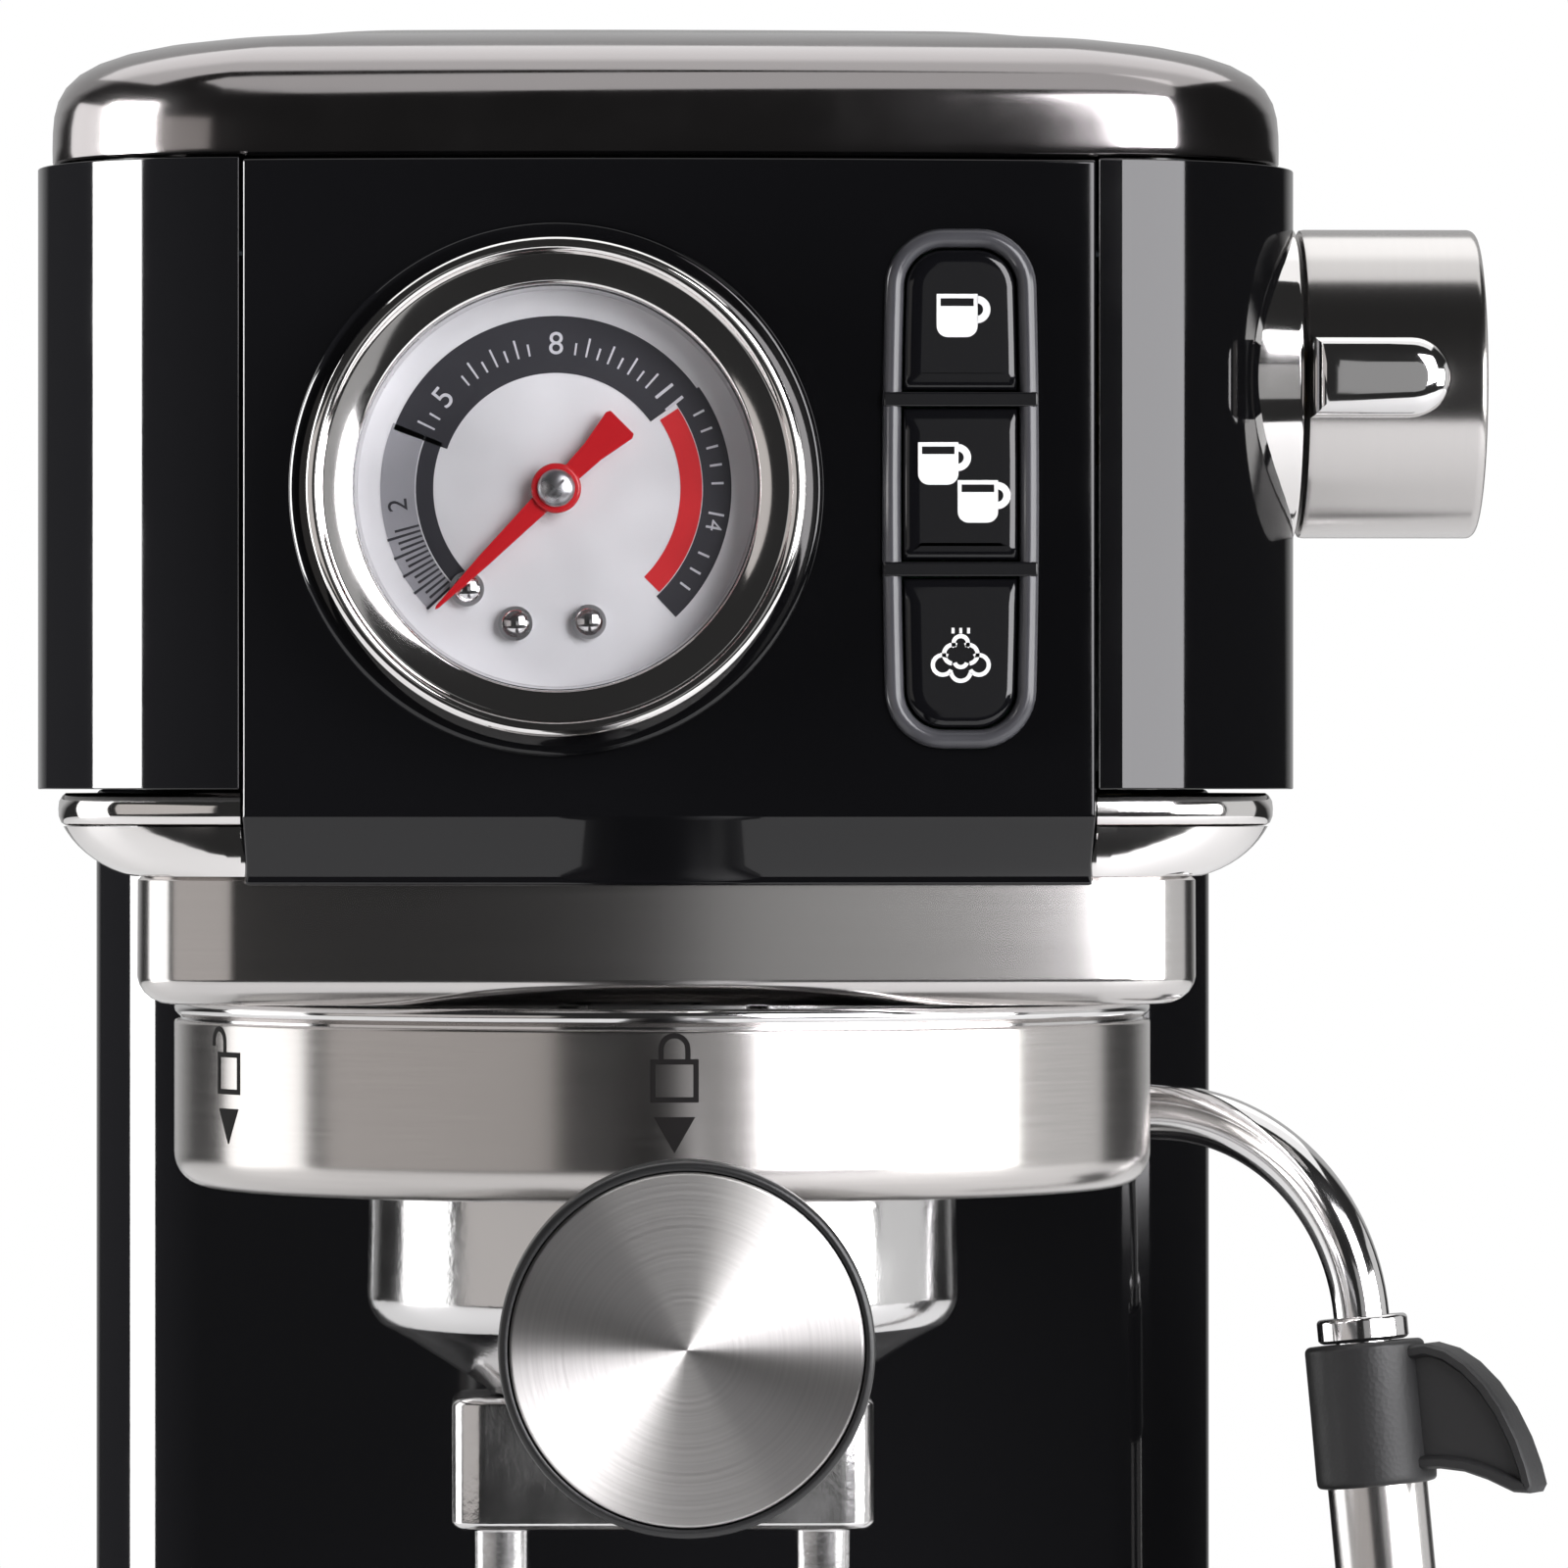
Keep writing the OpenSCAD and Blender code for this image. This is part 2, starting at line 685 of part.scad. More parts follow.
module wand_grip() {
    color("#141416") at_wand_end() difference() {
        union() {
            translate([0, 0, 3.6]) cylinder(h = 18, r = 7.4);
            // thumb tab
            translate([0, -2.6, 0]) rotate([-90, 0, 0]) linear_extrude(5.2) polygon(concat(
                [[-5, -4.4], [-9, -4.2]], arc(-7, -21.6, 16.6, 96, 176, 8),
                [[-23.5, -23.4], [-19.5, -23.6]], arc(-10, -27.5, 10, 150, 92, 5), [[-5, -17.6]]));
        }
        cylinder(h = 19.4, r = pipe_r + 0.02);
        translate([0, 0, 14]) cylinder(h = 20, r = sleeve_r + 0.1);
    }
}

module wand_tip() {
    color("#c9c9cc") at_wand_end() difference() {
        translate([0, 0, 22]) cylinder(h = 44, r = 3.4);
        translate([0, 0, 30]) cylinder(h = 40, r = 1);
    }
}

module froth_sleeve() {
    color("#bdbabb") at_wand_end() difference() {
        translate([0, 0, 14.2]) cylinder(h = 68, r = sleeve_r);
        translate([0, 0, 12]) cylinder(h = 80, r = sleeve_r - 1);
        translate([0, -10, 33]) rotate([-90, 0, 0]) cylinder(h = 20, r = 1.2);
    }
}

// ---------------------------------------------------------------- gauge

module at_gauge() {
    translate([gauge_x, y_front, z_gauge]) rotate([90, 0, 0]) children();
}

module gauge_case() {
    color("#8a8a8c") at_gauge() difference() {
        union() {
            translate([0, 0, -22]) cylinder(h = 22.4, r = 25);
            translate([0, 0, 0.7]) cylinder(h = 1.4, r = 27);
            cylinder(h = 1, r = 25);
            translate([0, 0, -30]) cylinder(h = 8.2, r = 5);
        }
        translate([0, 0, -20.5]) cylinder(h = 30, r = 23.6);
    }
}

module gauge_bezel() {
    r = 2.6;
    color("#dededf") at_gauge() rotate_extrude() polygon(concat(
        [[27.2, 0.7], [bezel_r, 0.7]], arc(bezel_r - r, 6.6, r, 0, 90),
        [[24.6, 9.2], [23.2, 7.8], [23.2, 6.4], [24, 6.4], [24, 2.2], [27.2, 2.2]]));
}

module gauge_lens() {
    color([0.9, 0.95, 1, 0.3]) at_gauge() translate([0, 0, 4.8]) cylinder(h = 1.5, r = 23.9);
}

module gauge_dial() {
    color("#e4e4e6") at_gauge() difference() {
        cylinder(h = 0.8, r = 23.5);
        translate([0, 0, -1]) cylinder(h = 3, r = 1.3);
    }
}

// Needle at its lower stop, pointing down and left
module gauge_needle() {
    color("#c01820") at_gauge() rotate([0, 0, 225]) {
        translate([0, 0, 2.2]) linear_extrude(0.7) union() {
            polygon([[0, 1.35], [19.6, 0.35], [19.6, -0.35], [0, -1.35]]);
            polygon([[0, 0.9], [-10.8, 1.8], [-10.8, -1.8], [0, -0.9]]);
        }
        translate([0, 0, 1.6]) cylinder(h = 1.9, r = 2.9);
        translate([0, 0, -7.5]) cylinder(h = 10.5, r = 0.9);
    }
}

module gauge_posts() {
    color("#9a9a9c") at_gauge() {
        for (c = [[-4.7, -15.6], [3.8, -15.4], [-10.3, -11.6]])
            translate([c[0], c[1], 0.8]) cylinder(h = 1.1, r = 2);
        // pressure tube and its movement behind the dial
        translate([0, 0, -18]) rotate([0, 0, 200])
            rotate_extrude(angle = 250) translate([17, 0]) circle(2, $fn = 24);
        translate([-6, -6, -19]) cube([12, 12, 11]);
    }
}

// ---------------------------------------------------------------- buttons

// Rim round the three buttons, with a bar at each gap
module button_frame() {
    color("#5a5a5e") difference() {
        button_prism(y_front - 0.2, y_front + 4);
        button_prism(y_front - 2, y_front + 6, rim_w);
    }
    color("#101012") for (z = [b_split_a, b_split_b])
        box(button_x - button_w / 2 + rim_w, button_x + button_w / 2 - rim_w,
            y_front + 1, y_front + 4, z - 0.7, z + 0.7);
}

// Cap between two levels of the button column, with a stem behind it
module button_cap(z0, z1) {
    intersection() {
        button_prism(y_front + 0.2, y_front + 5.2, rim_w + 0.3);
        box(button_x - 20, button_x + 20, y_front - 10, y_front + 20, z0, z1);
    }
    rod_y(button_x, (z0 + z1) / 2, y_front + 5.1, y_front + 7.2, 2.5);
}

b_top = z_gauge + 0.1 + button_h / 2;
b_low = z_gauge + 0.1 - button_h / 2;
b_split_a = b_top - 19.8;
b_split_b = b_low + 20.8;

module one_cup_button() {
    color("#060607") button_cap(b_split_a + button_gap / 2, b_top + 1);
}

module two_cup_button() {
    color("#060607") button_cap(b_split_b + button_gap / 2, b_split_a - button_gap / 2);
}

module steam_button() {
    color("#060607") button_cap(b_low - 1, b_split_b - button_gap / 2);
}

module button_board() {
    color("#1d5a2c")
        box(button_x - 13, button_x + 13, y_front + 12, y_front + 13.6, z_gauge - 32, z_gauge + 32);
    color("#2a2a2a") for (z = [b_top - 9.4, z_gauge + 0.6, b_low + 9.9])
        box(button_x - 3, button_x + 3, y_front + 9.4, y_front + 12, z - 3, z + 3);
}

// ---------------------------------------------------------------- water

z_lid = z_top - 12;             // hinge axis of the tank lid
lid_t = 6.4;

module water_tank() {
    zb = z_deck + 0.4;
    color([0.75, 0.8, 0.85, 0.4]) difference() {
        union() {
            slab(zb, z_lid - lid_t / 2 - 0.3 - zb) rounded(hw - 3.5, y_tank, y_back, 6, 8);
            translate([0, 120, zb - 4]) cylinder(h = 5, r = 8.6);
            for (x = [-68, 68 - 4]) {
                box(x, x + 4, y_back - 6.4, y_back - 0.6, z_lid - 6, z_lid);
                rod_x(y_back - 3.5, z_lid, x, x + 4, 2.9);
            }
        }
        slab(zb + 2.4, 400) rounded(hw - 5.7, y_tank + 2.2, y_back - 2.2, 4, 6);
        translate([0, 120, zb - 5]) cylinder(h = 10, r = 3);
    }
    // hinge pin of the lid
    color("#999999") rod_x(y_back - 3.5, z_lid, -66, 66, 1.25);
}

module tank_lid() {
    z0 = z_lid - lid_t / 2;
    color("#141416") difference() {
        union() {
            intersection() {
                slab(z0, lid_t) rounded(hw - 3.5, y_tank, y_back + 20, 6, 3);
                box(-80, 80, y_tank - 1, y_back - 7.2, z0 - 1, z_top);
            }
            box(-62, 62, y_back - 8, y_back - 3.5, z0, z0 + lid_t);
            rod_x(y_back - 3.5, z_lid, -62, 62, lid_t / 2);
        }
        slab(z0 - 1, lid_t - 1.4) rounded(hw - 6, y_tank + 3, y_back - 9, 4, 4);
        rod_x(y_back - 3.5, z_lid, -80, 80, 1.3);
    }
}

// ---------------------------------------------------------------- tray

module drip_tray() {
    z0 = z_plate + plate_t + 0.4;
    color("#0b0b0d") {
        difference() {
            slab(z0, z_tray - z0) rounded(hw - 0.2, y_tray, -2.6, corner_r, 3);
            slab(z0 + 2.4, 100) rounded(hw - 2.6, y_tray + 2.4, -5, corner_r - 2.4, 3);
        }
        for (x = [-1, 1], y = [-128, -24])
            translate([x * 60, y, z0 + 2.3]) cylinder(h = z_tray - 1.8 - z0 - 2.3, r = 4);
        translate([0, -24, z0 + 2.3]) difference() {
            cylinder(h = 9, r = 8.4);
            translate([0, 0, -1]) cylinder(h = 12, r = 6.4);
        }
    }
}

module drip_grid() {
    color("#c2c2c4") difference() {
        slab(z_tray - 3, 3) rounded(hw - 3, y_tray + 2.9, -5.5, corner_r - 2.9, 3);
        slab(z_tray - 4, 2.6) rounded(hw - 6, y_tray + 6, -8.5, corner_r - 6, 3);
        translate([0, -24, z_tray - 5]) cylinder(h = 6, r = 6.2);
        for (k = [0 : 12], s = [-1, 1])
            translate([s * 33 - 25, -136 + k * 8, z_tray - 5]) cube([50, 4, 6]);
    }
}

module tray_float() {
    color("#c81e1e") translate([0, -24, 0]) union() {
        translate([0, 0, z_plate + plate_t + 3.2]) cylinder(h = 14, r = 5.9);
        translate([0, 0, z_plate + plate_t + 3.2])
            cylinder(h = z_tray - 1.2 - z_plate - plate_t - 3.2, r = 3);
    }
}

// ---------------------------------------------------------------- inside

// Vibration pump in its frame, with its plumbing from tank to boiler
module pump() {
    x = -26;
    y = 46;
    z = 92;                     // underside of the pump's coil
    coil = 44;
    meter = [30, 46, 56];       // water meter, between tank and pump
    z_inlet = 82;
    color("#3c3c40") translate([x, y, z]) {
        cylinder(h = coil, r = 17);
        difference() {
            translate([-23, -19, -4]) cube([46, 38, coil + 8]);
            translate([-19.5, -22, -0.5]) cube([39, 44, coil + 1]);
        }
    }
    // brass inlet and outlet
    color("#b8923e") translate([x, y, 0]) {
        translate([0, 0, z + coil - 2]) cylinder(h = 24, r = 7);
        translate([0, 0, 64]) cylinder(h = 30, r = 6);
    }
    // rubber block under the pump
    color("#222222") box(x - 15, x + 15, y - 15, y + 15, z_plate + plate_t, 66);
    color("#d9d9d9") {
        translate(meter) cylinder(h = 18, r = 14);
        // valve under the tank's outlet
        translate([0, 120, 25.4]) cylinder(h = 6, r = 7);
    }
    color("#e8e8e8") {
        hose([[0, 120, 28], [0, 120, 18], [0, y, 18], [meter[0], y, 18], [meter[0], y, 60]], 3);
        hose([[meter[0], y, 70], [meter[0], y, z_inlet], [x, y, z_inlet]], 2.6);
        hose([[x, y, z + coil + 12], [x, y, z_head + 22], [0, 20, z_head + 22],
              [0, y_group + 30.3, z_head + 22]], 2.6);
    }
}

module boiler() {
    z0 = z_head + 4.8;
    color("#a7a9ab") at_group() difference() {
        union() {
            translate([0, 0, z0]) cylinder(h = 4, r = 40);
            translate([0, 0, z0 + 3.9]) cylinder(h = 46, r = 30);
            for (a = [45 : 90 : 315]) rotate([0, 0, a]) translate([35, 0, z0 + 3.9])
                cylinder(h = 3, r = 3.2, $fn = 6);
        }
        translate([0, 0, z0 - 1]) cylinder(h = 40, r = 24);
    }
    // thermostats
    color("#202020") at_group() for (x = [-12, 8]) translate([x, -4, z0 + 49.9]) cylinder(h = 5, r = 7);
}

module control_board() {
    color("#1d5a2c") box(-50, 50, 78, 79.6, 90, 196);
    color("#222222") {
        box(-42, -24, 66, 78, 100, 116);
        box(-16, 8, 66, 78, 102, 132);
        box(16, 40, 68, 78, 100, 116);
        box(-44, -30, 70, 78, 150, 168);
    }
    color("#31507a") for (x = [-12, 4, 24]) rod_y(x, 160, 62, 78, 6);
    color("#dddddd") for (x = [-40, -20, 0, 20, 40]) box(x - 5, x + 5, 68, 78, 180, 190);
}

module power_switch() {
    x0 = -48;
    x1 = -32;
    color("#111111") difference() {
        intersection() {
            rod_x(y_back - 4, 20, x0, x1, 8.6);
            box(x0 - 1, x1 + 1, y_back - 14, y_back + 8, 13.4, 26.6);
        }
        translate([x0 - 1, y_back + 3.2, 20]) rotate([0, 90, 0]) cylinder(h = 18, r = 0.8);
        translate([x0 - 1, y_back + 29.4, 20]) rotate([0, 90, 0]) cylinder(h = 18, r = 26.4);
    }
}

// ---------------------------------------------------------------- assembly

base_plate();
rubber_feet();
base_housing();
column_cover();
rear_wall();
head_shell();
front_panel();
top_cover();
cup_plate();
trim_band();
head_underside();
neck_collar();
chassis();
housing_screws();
group_ring();
brew_head();
group_gasket();
shower_screen();
shower_screw();
portafilter_bowl();
filter_basket();
basket_spring();
twin_spout();
handle_ferrule();
handle_grip();
handle_rod();
handle_cap();
steam_knob();
knob_lever();
knob_collar();
valve_stem();
steam_valve();
steam_pipes();
wand_socket();
wand_seat();
wand_pipe();
wand_collar();
wand_grip();
wand_tip();
froth_sleeve();
gauge_case();
gauge_bezel();
gauge_lens();
gauge_dial();
gauge_needle();
gauge_posts();
button_frame();
one_cup_button();
two_cup_button();
steam_button();
button_board();
water_tank();
tank_lid();
drip_tray();
drip_grid();
tray_float();
pump();
boiler();
control_board();
power_switch();
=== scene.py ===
"""Slim espresso machine: the looks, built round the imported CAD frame. Sizes are written in millimetres."""

from math import asin, copysign, cos, pi, radians, sin, sqrt

import bmesh
import bpy
from mathutils import Matrix, Vector


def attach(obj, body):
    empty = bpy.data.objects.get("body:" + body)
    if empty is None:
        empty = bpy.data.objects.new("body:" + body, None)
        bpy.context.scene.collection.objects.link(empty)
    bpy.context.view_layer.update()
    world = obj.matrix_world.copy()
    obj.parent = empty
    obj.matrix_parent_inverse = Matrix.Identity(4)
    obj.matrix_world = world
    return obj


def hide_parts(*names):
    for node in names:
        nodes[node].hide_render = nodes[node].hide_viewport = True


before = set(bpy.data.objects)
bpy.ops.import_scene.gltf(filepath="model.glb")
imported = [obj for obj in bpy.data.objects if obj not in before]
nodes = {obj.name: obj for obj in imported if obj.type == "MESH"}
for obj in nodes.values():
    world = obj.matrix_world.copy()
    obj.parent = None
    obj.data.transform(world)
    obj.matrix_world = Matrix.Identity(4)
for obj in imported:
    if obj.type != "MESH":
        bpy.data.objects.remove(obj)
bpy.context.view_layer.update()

MM = 0.001

# Levels and places in millimetres, as in the CAD
HW = 74.5
Z_TOP, Z_SEAM, Z_HEAD, Z_TRIM, Z_FLOOR, Z_NECK, Z_RING = 305.0, 289.0, 215.5, 211.2, 205.3, 190.0, 167.3
Z_RIM = Z_RING + 10.3
Z_HANDLE = Z_RING - 10.0
Z_GAUGE = 250.25
Y_FRONT, Y_GROUP, Y_COL, Y_REAR = -120.0, -60.0, 8.0, 92.0
GAUGE_X, BUTTON_X = -13.2, 33.7
PANEL_HW = 49.6
BULGE = 400.0
RING_R, BOWL_R, HANDLE_R, HANDLE_LEN = 59.5, 36.0, 19.4, 175.0
Y_KNOB, Z_KNOB, KNOB_R = -88.0, Z_GAUGE + 13.6, 18.4
WAND = Vector((52.0, -12.0, 0.0))
Z_BALL = Z_NECK + 1.6



def add(name, data):
    """A new object in the scene."""
    o = bpy.data.objects.new(name, data)
    bpy.context.scene.collection.objects.link(o)
    return o


# ------------------------------------------------------------------ camera

cam_data = bpy.data.cameras.new("camera")
cam = add("camera", cam_data)
cam_data.sensor_width = 36
cam_data.lens = 218.1
cam.location = (-0.0168, -1.220, 0.2155)
look = Vector((0.0132, -0.120, 0.2161)) - cam.location
cam.rotation_mode = "QUATERNION"
cam.rotation_quaternion = look.to_track_quat("-Z", "Y")
bpy.context.scene.camera = cam
bpy.context.scene.view_settings.view_transform = "Standard"

# --------------------------------------------------------------- materials


def material(name, base, rough, metal=0.0, **sockets):
    """A new material and its shader, with constants set on the shader's own sockets."""
    m = bpy.data.materials.new(name)
    m.use_nodes = True
    b = m.node_tree.nodes["Principled BSDF"]
    b.inputs["Base Color"].default_value = (*base, 1)
    b.inputs["Roughness"].default_value = rough
    b.inputs["Metallic"].default_value = metal
    for key, v in sockets.items():
        b.inputs[key.replace("_", " ")].default_value = v
    return m, b


def node(m, kind, **props):
    n = m.node_tree.nodes.new(kind)
    for k, v in props.items():
        setattr(n, k, v)
    return n


def link(m, a, b):
    m.node_tree.links.new(a, b)


def coords(m, scale=(1, 1, 1)):
    """Object coordinates, scaled."""
    t = node(m, "ShaderNodeTexCoord")
    p = node(m, "ShaderNodeMapping", vector_type="POINT")
    p.inputs["Scale"].default_value = scale
    link(m, t.outputs["Object"], p.inputs["Vector"])
    return p.outputs["Vector"]


def noise(m, vector, scale, detail=3.0, rough=0.55):
    n = node(m, "ShaderNodeTexNoise")
    n.inputs["Scale"].default_value = scale
    n.inputs["Detail"].default_value = detail
    n.inputs["Roughness"].default_value = rough
    link(m, vector, n.inputs["Vector"])
    return n.outputs["Fac"]


def spread(m, fac, lo, hi, a=0.3, b=0.7):
    """Maps a noise value from a..b to lo..hi."""
    r = node(m, "ShaderNodeMapRange")
    for k, v in (("From Min", a), ("From Max", b), ("To Min", lo), ("To Max", hi)):
        r.inputs[k].default_value = v
    link(m, fac, r.inputs["Value"])
    return r.outputs["Result"]


def bump(m, b, height, strength, distance):
    n = node(m, "ShaderNodeBump")
    n.inputs["Strength"].default_value = strength
    n.inputs["Distance"].default_value = distance * MM
    link(m, height, n.inputs["Height"])
    link(m, n.outputs["Normal"], b.inputs["Normal"])


def sheen(m, b, fac, lo, hi):
    """Roughness that drifts from lo to hi."""
    link(m, spread(m, fac, lo, hi), b.inputs["Roughness"])


def tinted(m, b, fac, base, dark, light):
    """Base colour that drifts from base times dark to base times light."""
    share = spread(m, fac, 0.0, 1.0)
    mix = node(m, "ShaderNodeMix", data_type="RGBA")
    mix.inputs[6].default_value = (*[c * dark for c in base], 1)
    mix.inputs[7].default_value = (*[c * light for c in base], 1)
    link(m, share, mix.inputs[0])
    link(m, mix.outputs[2], b.inputs["Base Color"])


def gloss(name, base, rough=0.05, coat=0.0, wave=0.02, metal=0.0):
    """Gloss surface with a faint waviness and a little uneven sheen: moulded plastic, or metallic paint."""
    m, b = material(name, base, rough, metal, Coat_Weight=coat, Coat_Roughness=0.03)
    v = coords(m)
    sheen(m, b, noise(m, v, 55.0), rough * 0.8, rough * 1.5)
    bump(m, b, noise(m, v, 24.0, 1.0), wave, 0.4)
    return m


def plated(name, base, rough, grain=0.0, scale=60.0):
    """Bright plating or polished steel, with fine wear in its sheen."""
    m, b = material(name, base, rough, 1.0)
    v = coords(m)
    sheen(m, b, noise(m, v, scale, 4.0), rough * 0.7, rough * 1.6)
    bump(m, b, noise(m, v, scale * 12, 2.0), grain, 0.05)
    return m


def moulded(name, base, rough, grain=0.25, size=0.5, **sockets):
    """Matte moulded plastic, rubber or ink with a fine leather grain. size is the grain's, in millimetres."""
    m, b = material(name, base, rough, **sockets)
    v = coords(m)
    cells = node(m, "ShaderNodeTexVoronoi", feature="F1")
    cells.inputs["Scale"].default_value = 1000.0 / size
    link(m, v, cells.inputs["Vector"])
    bump(m, b, cells.outputs["Distance"], grain, 0.08)
    fac = noise(m, v, 30.0)
    sheen(m, b, fac, rough * 0.85, rough * 1.15)
    tinted(m, b, fac, base, 0.8, 1.3)
    return m


def along(m, b, axis):
    """Turns the shader's anisotropy to run round an axis."""
    t = node(m, "ShaderNodeTangent", direction_type="RADIAL", axis=axis)
    link(m, t.outputs["Tangent"], b.inputs["Tangent"])


def brushed(name, base, rough, stretch, aniso=0.0, axis=None, depth=0.02, drift=0.03):
    """Steel brushed along straight lines, or round an axis. stretch is the grain's scale along X, Y and Z."""
    m, b = material(name, base, rough, 1.0, Anisotropic=aniso, Anisotropic_Rotation=0.25)
    v = coords(m, stretch)
    fac = noise(m, v, 1.0, 5.0, 0.65)
    sheen(m, b, fac, rough * (1 - 2 * drift), rough * (1 + 2 * drift))
    tinted(m, b, fac, base, 1 - drift, 1 + drift)
    bump(m, b, fac, depth, 0.03)
    if axis:
        along(m, b, axis)
    return m


RINGS_PER_METRE = 2600.0


def spun(name, base, rough, centre, across, aniso, axis):
    """Steel turned on a lathe: rings round centre, measured along the axes that across keeps."""
    m, b = material(name, base, rough, 1.0, Anisotropic=aniso, Anisotropic_Rotation=0.25)
    t = node(m, "ShaderNodeTexCoord")
    d = node(m, "ShaderNodeVectorMath", operation="SUBTRACT")
    d.inputs[1].default_value = [c * MM for c in centre]
    flat = node(m, "ShaderNodeVectorMath", operation="MULTIPLY")
    flat.inputs[1].default_value = across
    size = node(m, "ShaderNodeVectorMath", operation="LENGTH")
    link(m, t.outputs["Object"], d.inputs[0])
    link(m, d.outputs[0], flat.inputs[0])
    link(m, flat.outputs[0], size.inputs[0])
    rings = node(m, "ShaderNodeTexNoise", noise_dimensions="1D")
    rings.inputs["Scale"].default_value = RINGS_PER_METRE
    rings.inputs["Detail"].default_value = 3.0
    link(m, size.outputs["Value"], rings.inputs["W"])
    fac = rings.outputs["Fac"]
    sheen(m, b, fac, rough * 0.94, rough * 1.08)
    tinted(m, b, fac, base, 0.96, 1.03)
    bump(m, b, fac, 0.02, 0.02)
    along(m, b, axis)
    return m


def window(name, tint, gloss_share):
    """Thin clear sheet: mostly passes straight through, with a surface sheen."""
    m = bpy.data.materials.new(name)
    m.use_nodes = True
    m.node_tree.nodes.clear()
    out = node(m, "ShaderNodeOutputMaterial")
    mix = node(m, "ShaderNodeMixShader")
    clear = node(m, "ShaderNodeBsdfTransparent")
    clear.inputs["Color"].default_value = (*tint, 1)
    shine = node(m, "ShaderNodeBsdfGlossy")
    shine.inputs["Roughness"].default_value = 0.04
    edge = node(m, "ShaderNodeLayerWeight")
    edge.inputs["Blend"].default_value = 0.25
    link(m, spread(m, edge.outputs["Fresnel"], gloss_share, 0.5, 0.0, 1.0), mix.inputs[0])
    link(m, clear.outputs[0], mix.inputs[1])
    link(m, shine.outputs[0], mix.inputs[2])
    link(m, mix.outputs[0], out.inputs["Surface"])
    return m


BLACK = gloss("black_gloss", (0.004, 0.004, 0.0045), 0.045)
PANEL = gloss("panel_gloss", (0.003, 0.003, 0.0035), 0.035, wave=0.01)
KEYS = gloss("key_gloss", (0.004, 0.004, 0.005), 0.06)
GUNMETAL = gloss("gunmetal_gloss", (0.33, 0.31, 0.31), 0.11, coat=0.3, wave=0.004, metal=1.0)
CHROME = plated("chrome_plate", (0.82, 0.8, 0.79), 0.07)
STEEL = plated("polished_steel", (0.78, 0.77, 0.77), 0.09)
CAST = plated("cast_steel", (0.76, 0.75, 0.75), 0.13, 0.35, 90.0)
BEZEL = plated("bezel_chrome", (0.86, 0.84, 0.83), 0.06)
RING = brushed("brushed_ring", (0.6, 0.575, 0.56), 0.24, (45, 45, 3200), 0.7, "Z")
NECK_STEEL = brushed("neck_steel", (0.64, 0.62, 0.61), 0.17, (30, 30, 2600), depth=0.01, drift=0.02)
SATIN = brushed("satin_steel", (0.62, 0.61, 0.6), 0.3, (30, 1600, 1600))
SLEEVE = brushed("sleeve_steel", (0.7, 0.68, 0.67), 0.2, (2400, 2400, 40))
DISC = spun("spun_disc", (0.66, 0.64, 0.63), 0.3, (0, 0, Z_HANDLE), (1, 0, 1), 1.0, "Y")
KNOB = brushed("knob_steel", (0.6, 0.58, 0.57), 0.22, (3200, 45, 45), 0.6, "X", 0.01, 0.012)
KNOB_FACE = spun("knob_face_steel", (0.64, 0.61, 0.6), 0.42, (0, Y_KNOB, Z_KNOB), (0, 1, 1), 0.95, "X")
MATTE = moulded("matte_black", (0.018, 0.018, 0.019), 0.42)
GRIP = moulded("grip_black", (0.014, 0.014, 0.0145), 0.34, 0.12, 0.35)
RUBBER = moulded("rubber_black", (0.016, 0.016, 0.0165), 0.5, 0.3, 0.6)
RIM = moulded("rim_grey", (0.06, 0.06, 0.067), 0.22, 0.03, 0.8)
NYLON = moulded("nylon", (0.7, 0.68, 0.62), 0.4, 0.1)
BOARD = moulded("board_green", (0.02, 0.12, 0.05), 0.35, 0.1)
RED_PART = moulded("red_plastic", (0.5, 0.02, 0.02), 0.3, 0.05)
ALLOY = plated("cast_alloy", (0.55, 0.55, 0.56), 0.35, 0.5, 160.0)
ZINC = plated("zinc_sheet", (0.5, 0.5, 0.51), 0.3, 0.15)
BRASS = plated("brass", (0.66, 0.47, 0.2), 0.2)
COPPER = plated("copper_pipe", (0.72, 0.4, 0.26), 0.18)
WINDOW = window("clear_window", (0.985, 0.985, 0.99), 0.015)
TANK = window("smoked_tank", (0.52, 0.54, 0.56), 0.07)
DIAL = moulded("dial_print", (0.74, 0.74, 0.75), 0.38, 0.03, 0.5)
DIAL_WALL = plated("dial_wall", (0.75, 0.74, 0.75), 0.2)
INK = moulded("ink_charcoal", (0.028, 0.028, 0.034), 0.4, 0.02)
INK_GREY = moulded("ink_grey", (0.3, 0.3, 0.32), 0.4, 0.02)
INK_PALE = moulded("ink_pale", (0.62, 0.62, 0.65), 0.4, 0.02)
INK_RED = moulded("ink_red", (0.62, 0.02, 0.025), 0.35, 0.02)
INK_WHITE = moulded("ink_white", (0.86, 0.86, 0.86), 0.5, 0.02)
MARK = moulded("etched_mark", (0.008, 0.007, 0.007), 0.6, 0.02, Specular_IOR_Level=0.15)
NEEDLE = gloss("needle_red", (0.55, 0.012, 0.018), 0.2)

# ---------------------------------------------------------------- geometry


